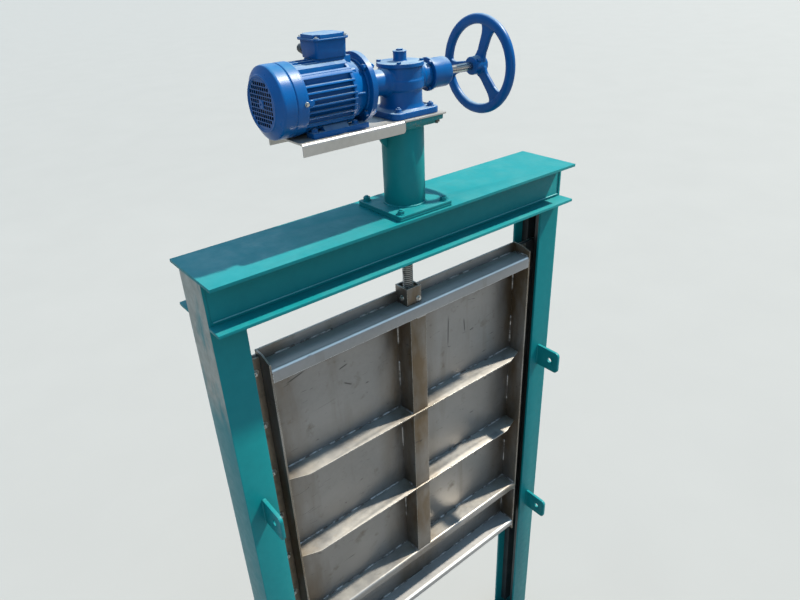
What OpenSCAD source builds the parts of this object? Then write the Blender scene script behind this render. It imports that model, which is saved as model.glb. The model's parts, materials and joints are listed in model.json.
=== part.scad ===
// Motorised sluice gate (channel penstock) with a non-rising screw, in millimetres
// X runs along the head beam, +Y is the upstream side, +Z is up
// The origin is the middle of the sill's underside

/* [Frame] */
// Width over the outer faces of the two posts
frame_w = 1200; // [1000:10:1600]
// Height from the sill's underside to the top of the head beam
frame_h = 2200; // [2150:10:2600]
// Depth of the head beam's plates, front to back
beam_d = 210; // [200:2:240]
// Height of the head beam over both plates
beam_h = 120; // [100:2:160]
// Thickness of the head beam's plates and webs
beam_t = 8; // [6:1:10]
// Depth of a post, front to back
post_d = 110; // [106:1:130]
// Width of a post's flanges along the beam
post_w = 86; // [80:1:100]
// Thickness of a post's plate
post_t = 8; // [6:1:10]
// Height of the sill that the leaf closes on
sill_h = 60; // [40:2:80]
// Thickness of the sill's flanges and web
sill_t = 8; // [5:1:10]
// Height of the narrow strip along the foot of each beam web
web_foot = 26; // [16:1:40]

/* [Guides and wall lugs] */
// Width of a guide bar
guide_w = 40; // [30:1:44]
// Running gap between a guide bar and the leaf
guide_gap = 7; // [5:0.5:10]
// Depth that the posts are let into the channel's walls
wall_in = 43; // [30:1:60]
// Length of a wall lug in front of the post
lug_len = 92; // [60:2:120]
// Height of a wall lug
lug_h = 80; // [40:2:90]
// Radius of a wall lug's free corners
lug_r = 14; // [6:1:20]
// Thickness of a wall lug
lug_t = 10; // [8:1:14]
// Anchor hole in a wall lug
lug_hole_d = 18; // [14:0.5:22]
// Height of the lowest pair of lugs above the sill's underside
lug_low = 753; // [300:1:900]
// Spacing between the two pairs of lugs
lug_gap = 710; // [300:10:760]

/* [Leaf] */
// Gap between a post's flange and the leaf's side plate
side_gap = 39; // [34:1:60]
// Height of the leaf's skin
leaf_h = 1273; // [1200:1:1400]
// Thickness of the skin sheet
skin_t = 6; // [4:0.5:8]
// Y of the skin's front face
skin_y = 10; // [8:0.5:12]
// Depth of the side plates in front of the skin
leaf_d = 65; // [58:1:70]
// Thickness of side plates, ribs and folded sections
rib_t = 5; // [4:0.5:8]
// Drop from the skin's top edge to the top channel
channel_drop = 31; // [24:1:60]
// Height of the top channel's front lip
channel_lip = 38; // [30:1:60]
// Height of the folded lip on the lower ribs
rib_lip = 26; // [15:1:40]
// Drop from the skin's top edge to the first rib
rib_1 = 405; // [330:5:420]
// Drop from the skin's top edge to the second rib
rib_2 = 713; // [650:5:760]
// Drop from the skin's top edge to the third rib
rib_3 = 1016; // [940:5:1060]
// Length along a rib of its cut-off front corner
rib_cut = 62; // [30:1:90]
// Depth of a rib's cut-off front corner
rib_cut_d = 22; // [10:1:30]
// Outer radius of the folded edges
fold_r = 9; // [8:0.5:14]
// Drop of the side plates' top corners at the front
side_drop = 13; // [5:1:25]
// Height of the bottom channel above the leaf's lower edge
foot_up = 50; // [40:1:80]
// Width of the box stiffener on the centre line
box_w = 58; // [54:1:70]
// Set-back of the box stiffener behind the ribs' front edges
box_in = 4; // [2:0.5:8]
// Width of a seal clamp strip
strip_w = 34; // [26:1:36]
// Thickness of a seal clamp strip
strip_t = 6; // [4:0.5:8]
// Thickness of the rubber seals
seal_t = 10; // [6:0.5:12]
// How far the skin's edge stands clear of the post's web
edge_gap = 24; // [12:1:30]
// How far the skin's edge passes the side seal
seal_in = 8; // [2:1:12]
// Height of the bottom seal below the skin
toe_h = 14; // [8:1:20]
// Height of the bottom seal on the skin
toe_grip = 36; // [20:1:40]

/* [Screw] */
// Outer diameter of the screw
stem_d = 30; // [24:0.5:32]
// Radial clearance in the nut
nut_gap = 0.05; // [0.02:0.01:0.1]
// Height of the nut
nut_h = 50; // [36:1:60]
// Outer width of the square nut box
nutbox_w = 52; // [50:0.5:56]
// Wall of the nut box
nutbox_t = 5; // [3:0.5:5]
// Height of the nut box above the top channel
nutbox_up = 52; // [30:1:60]
// Depth of the nut box below the top channel
nutbox_down = 30; // [20:1:60]
// Y of the screw's axis
stem_y = -10; // [-12:0.5:-8]
// Distance from the leaf's skin top at rest to the head beam's top
leaf_top_drop = 257; // [250:1:300]
// Travel of the leaf down to its closed place
leaf_travel = 590; // [400:10:590]

/* [Pedestal] */
// Width of the square base plate
base_w = 176; // [160:1:190]
// Thickness of the base plate, and of the pad under it
base_t = 7; // [6:0.5:10]
// Outer diameter of the column
column_d = 108; // [90:1:120]
// Wall of the column
column_t = 5; // [4:0.5:8]
// Height of the tray's top above the head beam
tray_z = 241; // [200:1:280]
// Width of the column's top flange along the beam
head_w = 156; // [150:1:180]
// Thickness of the column's top flange
head_t = 12; // [8:0.5:16]
// Height of the narrower collar under the top flange
collar_h = 10; // [6:0.5:14]
// Reach of the tray's gusset from the column
gusset_l = 24; // [12:1:30]
// Height of the tray's gusset
gusset_h = 50; // [40:1:90]

/* [Motor tray] */
// Thickness of the tray's sheet
tray_t = 4; // [3:0.5:6]
// Depth of the tray, front to back
tray_d = 150; // [146:1:170]
// Distance of the tray's left end from the screw's axis
tray_left = 332; // [320:1:380]
// Distance of the right end of the tray's lips from the screw's axis
lip_right = -50; // [-80:1:-36]
// Height of the tray's front and rear lips
tray_lip = 28; // [20:1:40]

/* [Gearbox] */
// Height of the motor's shaft above the tray
shaft_h = 80; // [80:1:90]
// Width of the gearbox's foot along the beam
foot_w = 142; // [120:1:150]
// Depth of the gearbox's foot
foot_d = 130; // [120:1:136]
// Thickness of the gearbox's foot
foot_t = 16; // [12:0.5:20]
// Diameter of the lower housing
low_d = 98; // [88:1:104]
// Diameter of the upper housing
drum_d = 112; // [100:1:116]
// Height of the housing above the tray
drum_h = 112; // [110:1:126]
// Height of the underside of the upper housing above the tray
drum_low = 80; // [60:1:84]
// Diameter of the cover
cover_d = 119; // [104:1:122]
// Thickness of the cover
cover_t = 9; // [6:0.5:12]
// Diameter of the boss on the cover
boss_d = 32; // [26:1:36]
// Height of the boss on the cover
boss_h = 24; // [12:1:28]
// Diameter of the neck towards the motor and of the wheel-side neck
neck_d = 60; // [50:1:66]
// Distance of the coupling flange's gearbox side from the screw's axis
flange_x = 127; // [116:1:132]
// Diameter of the coupling flange
flange_d = 157; // [150:1:158]
// Thickness of the coupling flange
flange_t = 17; // [14:1:24]
// Diameter of the hand drive's housing
drive_d = 72; // [60:1:76]
// Distance of the hand drive's near face from the screw's axis
drive_x = 80; // [76:1:90]
// Thickness of the hand drive's mounting disc
drive_disc_t = 8; // [6:0.5:12]
// Length of the hand drive's housing beyond its disc
drive_l = 55; // [50:1:80]

/* [Motor] */
// Length of the tapered end shield behind the motor's flange
shield_l = 36; // [20:1:44]
// Outer diameter of the fan cowl
cowl_d = 155; // [154:1:158]
// Diameter of the cowl's grille
grille_d = 118; // [110:1:136]
// Length of the fan cowl
cowl_l = 70; // [60:1:90]
// Length of the cowl's tapered end
cowl_taper = 13; // [10:1:24]
// Sheet thickness of the cowl
cowl_t = 2.5; // [1.5:0.5:4]
// Pitch of the grille's square holes
grille_pitch = 11; // [11:0.5:16]
// Width of the bars between the grille's holes
grille_bar = 3.5; // [3:0.5:6]
// Length of the finned body
body_l = 164; // [150:1:180]
// Diameter of the body under its fins
core_d = 128; // [110:1:136]
// Diameter over the fins
fin_d = 150; // [146:1:152]
// Thickness of a fin
fin_t = 3; // [2:0.5:4]
// Pitch of the fins
fin_pitch = 13; // [11:0.5:14]
// Width over the motor's feet
feet_w = 116; // [100:1:132]
// Length of a motor foot
feet_l = 148; // [120:1:150]
// Thickness of the motor's feet
feet_t = 12; // [8:0.5:16]
// Length of the terminal box
term_l = 78; // [70:1:84]
// Width of the terminal box
term_w = 68; // [60:1:84]
// Height of the terminal box without its lid
term_h = 32; // [28:1:44]
// Thickness of the terminal box's lid
lid_t = 6; // [4:0.5:10]
// Length of the cable gland
gland_l = 24; // [18:1:34]
// Bore of the cable gland
gland_bore = 11; // [8:0.5:13]

/* [Handwheel] */
// Outer diameter of the handwheel
wheel_d = 250; // [200:5:280]
// Width of the handwheel's rim
rim_w = 26; // [18:1:30]
// Thickness of the handwheel's rim along its axis
rim_t = 20; // [14:1:26]
// Radius of the rim's rounded edges
rim_r = 7; // [4:0.5:8]
// Diameter of the handwheel's hub
hub_d = 46; // [40:1:60]
// Length of the handwheel's hub
hub_l = 43; // [36:1:50]
// Width of a spoke at the rim
spoke_w = 30; // [18:1:34]
// Width of a spoke at the hub
spoke_hub = 24; // [14:1:28]
// Thickness of a spoke
spoke_t = 11; // [7:0.5:14]
// Diameter of the hand drive's shaft
rod_d = 20; // [18:0.5:24]
// Distance of the wheel's middle from the screw's axis
wheel_x = 266; // [250:1:300]

/* [Hidden] */
$fn = 48;
teal = [0.05, 0.42, 0.46];
enamel = [0.08, 0.32, 0.62];
stainless = [0.52, 0.51, 0.48];
black = [0.06, 0.06, 0.06];
half_w = frame_w / 2;
beam_low = frame_h - beam_h;
web_foot_t = 2;
web_y = post_d / 2 - web_foot_t;
post_in = half_w - post_t;
hole_gap = 6;
leaf_top = frame_h - leaf_top_drop;
leaf_low = leaf_top - leaf_h;
leaf_front = skin_y - leaf_d;
skin_half = half_w - post_t - edge_gap;
leaf_w = frame_w - 2 * (post_w + side_gap);
rib_w = leaf_w - 2 * rib_t;
seal_w = skin_half - seal_in - leaf_w / 2 - 1;
wall_x = half_w - wall_in;
channel_z = leaf_top - channel_drop;
foot_z = leaf_low + foot_up;
tray_top = frame_h + tray_z;
head_top = tray_top - tray_t;
head_d = tray_d - 2 * tray_t;
column_low = frame_h + 2 * base_t;
column_high = head_top - head_t - collar_h;
axis_z = tray_top + shaft_h;
cover_z = tray_top + drum_h;
flange_far = -flange_x - flange_t;
body_far = flange_far - body_l;
cowl_far = body_far - cowl_l;
term_z = axis_z + fin_d / 2 + 1;
term_x = body_far + 58;
gland_z = term_z + term_h / 2;
gland_x = term_x + 14;
term_back = stem_y + term_w / 2;
drive_far = drive_x + drive_disc_t + drive_l;
strip_x = leaf_w / 2 + 1;
strip_drop = 12;
stem_low = channel_z - leaf_travel - 45;
nut_low = channel_z + nutbox_up - nut_h - 8;
bore_fit = 0.1;
stem_high = tray_top + 60;

// A cylinder along X between two places
module rod_x(d, x0, x1, y = stem_y, z = axis_z) {
    translate([x0, y, z]) rotate([0, 90, 0]) cylinder(d = d, h = x1 - x0, $fn = 64);
}

// A plate with rounded upright corners, centred on the screw's axis
module pad_plate(w, d, t, r, z) {
    translate([0, stem_y, z]) linear_extrude(t) round_rect(w, d, r);
}

// Four upright holes on a rectangle round the screw's axis
module four_holes(sx, sy, d, z0, z1) {
    for (x = [-sx / 2, sx / 2], y = [-sy / 2, sy / 2])
        translate([x, stem_y + y, z0]) cylinder(d = d, h = z1 - z0, $fn = 32);
}

// The screw's clearance hole through the beam's plates
module stem_hole(z0, z1) {
    translate([0, stem_y, z0]) cylinder(d = stem_d + 2 * hole_gap, h = z1 - z0, $fn = 48);
}

module beam_top_plate() {
    color(teal) difference() {
        translate([-half_w, -beam_d / 2, frame_h - beam_t]) cube([frame_w, beam_d, beam_t]);
        stem_hole(frame_h - beam_t - 1, frame_h + 1);
    }
}

module beam_bottom_plate() {
    color(teal) difference() {
        translate([-half_w, -beam_d / 2, beam_low]) cube([frame_w, beam_d, beam_t]);
        stem_hole(beam_low - 1, beam_low + beam_t + 1);
        for (s = [-1, 1]) translate([s * half_w, 0, beam_low + beam_t / 2])
            cube([2 * post_t, post_d, 2 * beam_t], center = true);
    }
}

// A web with a thicker strip along its foot, as on a rolled section
module beam_web(s) {
    mirror([0, s, 0]) color(teal) {
        translate([-post_in, -web_y, beam_low + beam_t]) cube([2 * post_in, beam_t, beam_h - 2 * beam_t]);
        translate([-post_in, -post_d / 2, beam_low + beam_t]) cube([2 * post_in, web_foot_t, web_foot]);
    }
}

module beam_front_web() { beam_web(0); }
module beam_rear_web() { beam_web(1); }

// A folded channel open towards the other post, with its outer plate run up to the beam's top plate
module post(s) {
    mirror([s > 0 ? 1 : 0, 0, 0]) color(teal) {
        translate([-half_w, -post_d / 2, 0]) cube([post_t, post_d, frame_h - beam_t]);
        for (y = [-post_d / 2, post_d / 2 - post_t])
            translate([-post_in, y, 0]) cube([post_w - post_t, post_t, beam_low]);
    }
}

module post_left() { post(-1); }
module post_right() { post(1); }

module sill() {
    sill_w = 2 * (half_w - post_w);
    color(teal) translate([-sill_w / 2, 0, 0]) rotate([90, 0, 90]) linear_extrude(sill_w) {
        for (z = [0, sill_h - sill_t]) translate([-post_d / 2, z]) square([post_d, sill_t]);
        translate([-sill_t / 2, 0]) square([sill_t, sill_h]);
    }
}

// Sliding bars in front of and behind the leaf's edge
module guide_bars(s) {
    front_y = skin_y - seal_t - guide_gap;
    back_y = skin_y + skin_t + guide_gap;
    inner = post_d / 2 - post_t;
    mirror([s > 0 ? 1 : 0, 0, 0]) color(black) {
        translate([-post_in + 2, -inner, sill_h]) cube([guide_w, inner + front_y, beam_low - sill_h]);
        translate([-post_in + 2, back_y, sill_h]) cube([guide_w, inner - back_y, beam_low - sill_h]);
    }
}

module guide_bars_left() { guide_bars(-1); }
module guide_bars_right() { guide_bars(1); }

// Two flat lugs on the wall's face, welded to the post's front
module wall_lugs(s) {
    mirror([s > 0 ? 1 : 0, 0, 0]) color(teal)
    for (z = [lug_low, lug_low + lug_gap])
        translate([-wall_x, -post_d / 2, z]) rotate([0, 90, 0]) linear_extrude(lug_t) difference() {
            union() {
                translate([-lug_h, lug_r - lug_len]) square([lug_h, lug_len - lug_r]);
                translate([lug_r - lug_h, -lug_len]) square([lug_h - 2 * lug_r, lug_len]);
                for (u = [-lug_r, lug_r - lug_h]) translate([u, lug_r - lug_len]) circle(lug_r, $fn = 32);
            }
            translate([-lug_h / 2, -lug_len * 0.6]) circle(d = lug_hole_d, $fn = 32);
        }
}

module wall_lugs_left() { wall_lugs(-1); }
module wall_lugs_right() { wall_lugs(1); }

module pedestal_pad() {
    color(teal) difference() {
        pad_plate(base_w, base_w, base_t, 4, frame_h);
        stem_hole(frame_h - 1, frame_h + base_t + 1);
    }
}

module pedestal_base() {
    color(teal) difference() {
        pad_plate(base_w, base_w, base_t, 4, frame_h + base_t);
        stem_hole(frame_h, column_low + 1);
    }
}

module pedestal_column() {
    arc = (gusset_h * gusset_h - gusset_l * gusset_l) / (2 * gusset_l);
    color(teal) translate([0, stem_y, column_low]) difference() {
        union() {
            cylinder(d = column_d, h = column_high - column_low, $fn = 96);
            translate([0, 4, column_high - column_low]) rotate([90, 0, 0]) linear_extrude(8) intersection() {
                translate([-column_d / 2 - gusset_l, -gusset_h]) square([column_d / 2 + gusset_l, gusset_h]);
                translate([arc - column_d / 2, 0]) circle(gusset_l + arc, $fn = 96);
            }
        }
        translate([0, 0, -1]) cylinder(d = column_d - 2 * column_t, h = column_high - column_low + 2, $fn = 96);
    }
}

module pedestal_head() {
    color(teal) difference() {
        union() {
            pad_plate(head_w, head_d, head_t, 10, head_top - head_t);
            pad_plate(head_w - 24, head_d - 24, collar_h + 1, 10, column_high);
        }
        stem_hole(column_high - 1, head_top + 1);
    }
}

module motor_tray() {
    right = head_w / 2 + 2;
    color(stainless) difference() {
        union() {
            translate([-tray_left, stem_y - tray_d / 2, head_top]) cube([tray_left + right, tray_d, tray_t]);
            for (y = [stem_y - tray_d / 2, stem_y + tray_d / 2 - tray_t])
                translate([-tray_left, y + tray_t, tray_top]) rotate([90, 0, 0]) linear_extrude(tray_t) {
                    translate([0, -tray_lip]) square([tray_left + lip_right - 6, tray_lip]);
                    translate([0, 6 - tray_lip]) square([tray_left + lip_right, tray_lip - 6]);
                    translate([tray_left + lip_right - 6, 6 - tray_lip]) circle(6, $fn = 32);
                }
        }
        stem_hole(head_top - 1, tray_top + 1);
    }
}

module gearbox_housing() {
    color(enamel) difference() {
        union() {
            pad_plate(foot_w, foot_d, foot_t, 16, tray_top);
            translate([0, stem_y, tray_top]) rotate_extrude($fn = 96) polygon([
                [0, 4], [foot_d / 2 - 6, 4], [foot_d / 2 - 6, foot_t], [low_d / 2 + 5, foot_t + 3],
                [low_d / 2, foot_t + 14], [low_d / 2, drum_low - 5], [drum_d / 2 - 2, drum_low],
                [drum_d / 2, drum_low + 2], [drum_d / 2, drum_h - 6], [drum_d / 2 - 2, drum_h], [0, drum_h]]);
            rod_x(neck_d, -flange_x, drive_x);
            translate([-flange_x, stem_y, axis_z]) rotate([0, 90, 0])
                cylinder(d1 = neck_d + 42, d2 = neck_d - 1, h = 16, $fn = 96);
        }
        translate([0, stem_y, tray_top - 1]) cylinder(d = stem_d + bore_fit, h = stem_high - tray_top + 1, $fn = 64);
    }
}

module gearbox_cover() {
    color(enamel) translate([0, stem_y, cover_z]) {
        rotate_extrude($fn = 96) polygon([
            [0, 0], [cover_d / 2, 0], [cover_d / 2, cover_t - 2], [cover_d / 2 - 2, cover_t], [boss_d / 2 + 2, cover_t],
            [boss_d / 2, cover_t + 2], [boss_d / 2, cover_t + boss_h - 1], [boss_d / 2 - 1, cover_t + boss_h],
            [0, cover_t + boss_h]]);
    }
}

module gearbox_cap() {
    color(enamel) translate([0, stem_y, cover_z + cover_t + boss_h]) cylinder(d = boss_d / 2, h = 4, $fn = 48);
}

// The motor's flange and the gearbox's bell, bolted face to face
module coupling_flange() {
    color(enamel) translate([flange_far, stem_y, axis_z]) rotate([0, 90, 0]) rotate_extrude($fn = 96) polygon([
        [0, 0], [flange_d / 2 - 14, 0], [flange_d / 2 - 12, 4], [flange_d / 2 - 1, 4], [flange_d / 2, 5],
        [flange_d / 2, flange_t / 2], [flange_d / 2 - 2, flange_t / 2], [flange_d / 2 - 2, flange_t - 3],
        [flange_d / 2 - 5, flange_t], [0, flange_t]]);
}

module hand_drive() {
    color(enamel) difference() {
        union() {
            rod_x(drive_d + 8, drive_x, drive_x + drive_disc_t);
            rod_x(drive_d, drive_x + drive_disc_t - 1, drive_far);
        }
        rod_x(rod_d + bore_fit, drive_far - 40, drive_far + 1);
    }
}

// Outline of the finned body, looking along the shaft
module fin_outline() {
    ledge = 3.5 * fin_pitch;
    circle(d = core_d, $fn = 96);
    intersection() {
        circle(d = fin_d, $fn = 96);
        union() {
            for (i = [-5 : 2]) translate([-fin_d / 2, (i + 0.42) * fin_pitch - fin_t / 2]) square([fin_d, fin_t]);
            translate([-fin_d / 2, ledge]) square([fin_d, 2 * fin_t]);
            translate([-core_d * 0.3, 0]) square([core_d * 0.6, fin_d / 2 - 6]);
            for (i = [-4 : 4]) translate([i * fin_pitch - fin_t / 2, -fin_d / 2]) square([fin_t, fin_d]);
        }
    }
}

module motor_body() {
    shield_x = flange_far - shield_l;
    color(enamel) {
        translate([body_far, stem_y, axis_z]) rotate([90, 0, 90]) linear_extrude(body_l - shield_l) fin_outline();
        rod_x(cowl_d - 2 * cowl_t - 1, body_far - 8, body_far + 1);
        rod_x(cowl_d - 2, body_far, body_far + 2);
        rod_x(fin_d - 3, shield_x - 7, shield_x);
        translate([shield_x, stem_y, axis_z]) rotate([0, 90, 0])
            cylinder(d1 = fin_d - 8, d2 = core_d - 8, h = shield_l, $fn = 96);
        translate([term_x + 12, stem_y - term_w / 2 + 6, axis_z]) cube([term_l - 2, term_w - 12, term_z - axis_z]);
    }
}

module motor_feet() {
    x0 = flange_far - feet_l;
    color(enamel) difference() {
        for (s = [-1, 1]) {
            translate([x0, stem_y + s * (feet_w / 2 - 15) - 15, tray_top]) cube([feet_l, 30, feet_t]);
            translate([x0 + 31, stem_y, tray_top]) rotate([90, 0, 90]) linear_extrude(64) polygon([
                [s * (feet_w / 2 - 28), feet_t - 1], [s * (feet_w / 2 - 2), feet_t - 1],
                [s * (feet_w / 2 - 2), feet_t], [s * (feet_w / 2 - 20), feet_t + 17],
                [s * (feet_w / 2 - 28), feet_t + 17]]);
        }
        rod_x(fin_d, x0 - 1, flange_far + 1);
    }
}

module fan_cowl() {
    n = floor(grille_d / grille_pitch / 2);
    hole = grille_pitch - grille_bar;
    edge = grille_d / 2;
    mid = cowl_l * 0.62;
    color(enamel) translate([cowl_far, stem_y, axis_z]) rotate([0, 90, 0]) {
        rotate_extrude($fn = 96) polygon([
            [edge - 5, 0], [edge - 2, 0], [edge, 2], [cowl_d / 2 - 3, cowl_taper - 5], [cowl_d / 2, cowl_taper + 4],
            [cowl_d / 2, mid - 2], [cowl_d / 2 - 1.2, mid], [cowl_d / 2, mid + 2], [cowl_d / 2, cowl_l],
            [cowl_d / 2 - cowl_t, cowl_l], [cowl_d / 2 - cowl_t, cowl_taper + 4],
            [cowl_d / 2 - 3 - cowl_t, cowl_taper - 4], [edge - cowl_t, cowl_t + 1], [edge - 5, cowl_t]]);
        linear_extrude(cowl_t) difference() {
            circle(r = edge - 4, $fn = 96);
            for (i = [-n : n], j = [-n : n])
                if (norm([i, j]) * grille_pitch < edge - grille_pitch && norm([i, j]) > 1.2)
                    translate([i * grille_pitch - hole / 2, j * grille_pitch - hole / 2]) square(hole);
        }
    }
}

// A rectangle with round corners made of true arcs
module round_rect(w, d, r) {
    square([w - 2 * r, d], center = true);
    square([w, d - 2 * r], center = true);
    for (sx = [-1, 1], sy = [-1, 1]) translate([sx * (w / 2 - r), sy * (d / 2 - r)]) circle(r, $fn = 32);
}

module terminal_box() {
    color(enamel) translate([term_x + term_l / 2, stem_y, term_z]) linear_extrude(term_h)
        round_rect(term_l, term_w, 10);
}

module terminal_lid() {
    color(enamel) translate([term_x + term_l / 2, stem_y, term_z + term_h]) {
        linear_extrude(lid_t) round_rect(term_l + 8, term_w + 8, 8);
        linear_extrude(lid_t + 4) round_rect(term_l - 16, term_w - 16, 12);
    }
}

// A cylinder along Y through the cable gland, between two places
module rod_y(d, y0, y1) {
    translate([gland_x, y1, gland_z]) rotate([90, 0, 0]) cylinder(d = d, h = y1 - y0, $fn = 64);
}

module cable_gland() {
    color(black) difference() {
        union() {
            rod_y(gland_bore + 10, term_back, term_back + gland_l);
            rod_y(gland_bore + 15, term_back, term_back + gland_l * 0.6);
        }
        rod_y(gland_bore, term_back + 3, term_back + gland_l + 1);
    }
}

module stem() {
    color(stainless) translate([0, stem_y, stem_low]) cylinder(d = stem_d, h = stem_high - stem_low, $fn = 64);
}

module handwheel_shaft() {
    color(stainless) rod_x(rod_d, drive_far - 38, wheel_x);
}

// Shapes of the wheel are drawn flat, then stood across the shaft
module handwheel() {
    rim = (wheel_d - rim_w) / 2;
    tip = rim - rim_w / 2 + 6;
    hub_out = 14;
    color(enamel) translate([wheel_x, stem_y, axis_z]) rotate([0, 90, 0]) difference() {
        union() {
            rotate_extrude($fn = 96) translate([rim, 0]) round_rect(rim_w, rim_t, rim_r);
            translate([0, 0, hub_out - hub_l]) cylinder(d = hub_d, h = hub_l, $fn = 64);
            translate([0, 0, hub_out - 1]) cylinder(d = hub_d * 0.6, h = 7, $fn = 64);
            for (a = [20 : 120 : 260]) rotate([0, 0, a]) translate([0, 0, -spoke_t / 2])
                linear_extrude(spoke_t) polygon([[-tip, -spoke_w / 2], [-hub_d / 4, -spoke_hub / 2],
                    [-hub_d / 4, spoke_hub / 2], [-tip, spoke_w / 2]]);
        }
        translate([0, 0, -hub_l]) cylinder(d = rod_d, h = hub_l, $fn = 64);
    }
}

module leaf_skin() {
    color(stainless) difference() {
        translate([-skin_half, skin_y, leaf_low]) cube([2 * skin_half, skin_t, leaf_h]);
        for (s = [-1, 1]) translate([s > 0 ? leaf_w / 2 : -skin_half - 1, skin_y - 1, leaf_top - strip_drop])
            cube([skin_half - leaf_w / 2 + 1, skin_t + 2, strip_drop + 1]);
        translate([-nutbox_w / 2, skin_y - 1, channel_z - nutbox_down])
            cube([nutbox_w, skin_t + 2, channel_drop + nutbox_down + 1]);
    }
}

// A sheet folded down along its front edge, with its top face at z
module folded_rib(z, lip) {
    translate([-rib_w / 2, leaf_front, z]) rotate([90, 0, 90]) linear_extrude(rib_w) {
        translate([fold_r, -rib_t]) square([leaf_d - fold_r, rib_t]);
        translate([0, -lip]) square([rib_t, lip - fold_r]);
        intersection() {
            translate([0, -fold_r]) square(fold_r);
            translate([fold_r, -fold_r]) difference() {
                circle(fold_r, $fn = 64);
                circle(fold_r - rib_t, $fn = 64);
            }
        }
    }
}

// A flat rib with both front corners cut off and a slot for the screw
module flat_rib(z) {
    x = rib_w / 2;
    slot = stem_d / 2 + hole_gap;
    translate([0, skin_y, z - rib_t]) linear_extrude(rib_t) difference() {
        polygon([[-x, 0], [-x, rib_cut_d - leaf_d], [rib_cut - x, -leaf_d], [x - rib_cut, -leaf_d],
            [x, rib_cut_d - leaf_d], [x, 0]]);
        translate([0, stem_y - skin_y]) circle(slot, $fn = 48);
        translate([-slot, stem_y - skin_y]) square([2 * slot, leaf_d]);
    }
}

module leaf_top_channel() {
    color(stainless) difference() {
        folded_rib(channel_z, channel_lip);
        translate([-nutbox_w / 2, stem_y - nutbox_w / 2, channel_z - rib_t - 1])
            cube([nutbox_w, nutbox_w, rib_t + 2]);
    }
}

module leaf_rib_upper() { color(stainless) flat_rib(leaf_top - rib_1); }
module leaf_rib_middle() { color(stainless) flat_rib(leaf_top - rib_2); }
module leaf_rib_lower() { color(stainless) folded_rib(leaf_top - rib_3, rib_lip); }
module leaf_bottom_channel() { color(stainless) folded_rib(foot_z, rib_lip); }

// One three-sided length of the box stiffener between two ribs
module box_length(z0, z1) {
    depth = leaf_d - box_in;
    difference() {
        translate([-box_w / 2, skin_y - depth, z0]) cube([box_w, depth, z1 - z0]);
        translate([-box_w / 2 + rib_t, skin_y - depth + rib_t, z0 - 1]) cube([box_w - 2 * rib_t, depth, z1 - z0 + 2]);
    }
}

module leaf_box_stiffener() {
    zs = [leaf_top - rib_1, leaf_top - rib_2, leaf_top - rib_3];
    color(stainless) {
        box_length(zs[0], channel_z - channel_lip);
        box_length(zs[1], zs[0] - rib_t);
        box_length(zs[2], zs[1] - rib_t);
    }
}

module leaf_side(s) {
    color(stainless) translate([s > 0 ? leaf_w / 2 - rib_t : -leaf_w / 2, skin_y, leaf_low])
        rotate([90, 0, 90]) linear_extrude(rib_t)
        polygon([[0, 0], [0, leaf_h], [-leaf_d * 0.4, leaf_h], [-leaf_d, leaf_h - side_drop], [-leaf_d, 0]]);
}

module leaf_side_left() { leaf_side(-1); }
module leaf_side_right() { leaf_side(1); }

module clamp_strips() {
    color(stainless) for (s = [0, 1]) mirror([s, 0, 0])
        translate([strip_x, skin_y - seal_t - strip_t, leaf_low])
        cube([strip_w, strip_t, leaf_h - strip_drop]);
}

module side_seals() {
    color(black) for (s = [0, 1]) mirror([s, 0, 0])
        translate([strip_x, skin_y - seal_t, leaf_low]) cube([seal_w, seal_t, leaf_h - strip_drop]);
}

module bottom_seal() {
    color(black) {
        translate([-leaf_w / 2, skin_y - seal_t, leaf_low - toe_h]) cube([leaf_w, seal_t, toe_h]);
        translate([-rib_w / 2, skin_y - seal_t, leaf_low - 1]) cube([rib_w, seal_t, toe_grip + 1]);
    }
}

module nut_box() {
    h = nutbox_up + nutbox_down;
    color(stainless) translate([0, stem_y, channel_z - nutbox_down]) linear_extrude(h) difference() {
        square(nutbox_w, center = true);
        square(nutbox_w - 2 * nutbox_t, center = true);
    }
}

// A square bronze block held in the box
module stem_nut() {
    w = nutbox_w - 2 * nutbox_t;
    color("peru") translate([0, stem_y, nut_low]) difference() {
        translate([-w / 2, -w / 2, 0]) cube([w, w, nut_h]);
        translate([0, 0, -1]) cylinder(d = stem_d + 2 * nut_gap, h = nut_h + 2, $fn = 64);
    }
}

beam_top_plate();
beam_bottom_plate();
beam_front_web();
beam_rear_web();
post_left();
post_right();
sill();
guide_bars_left();
guide_bars_right();
wall_lugs_left();
wall_lugs_right();
pedestal_pad();
pedestal_base();
pedestal_column();
pedestal_head();
motor_tray();
gearbox_housing();
gearbox_cover();
gearbox_cap();
coupling_flange();
hand_drive();
motor_body();
motor_feet();
fan_cowl();
terminal_box();
terminal_lid();
cable_gland();
stem();
handwheel_shaft();
handwheel();
leaf_skin();
leaf_top_channel();
leaf_rib_upper();
leaf_rib_middle();
leaf_rib_lower();
leaf_bottom_channel();
leaf_box_stiffener();
leaf_side_left();
leaf_side_right();
clamp_strips();
side_seals();
bottom_seal();
nut_box();
stem_nut();
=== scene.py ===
"""Looks for the motorised sluice gate: paint, sheet metal, castings, screw thread, bolts and welds.

It is laid out as an add-on and run as a script. Every length is in metres, in the CAD model's own frame.
"""
import json
import math
import random

import bmesh
import bpy
from bpy.props import FloatProperty, FloatVectorProperty, PointerProperty
from mathutils import Matrix, Vector

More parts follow.
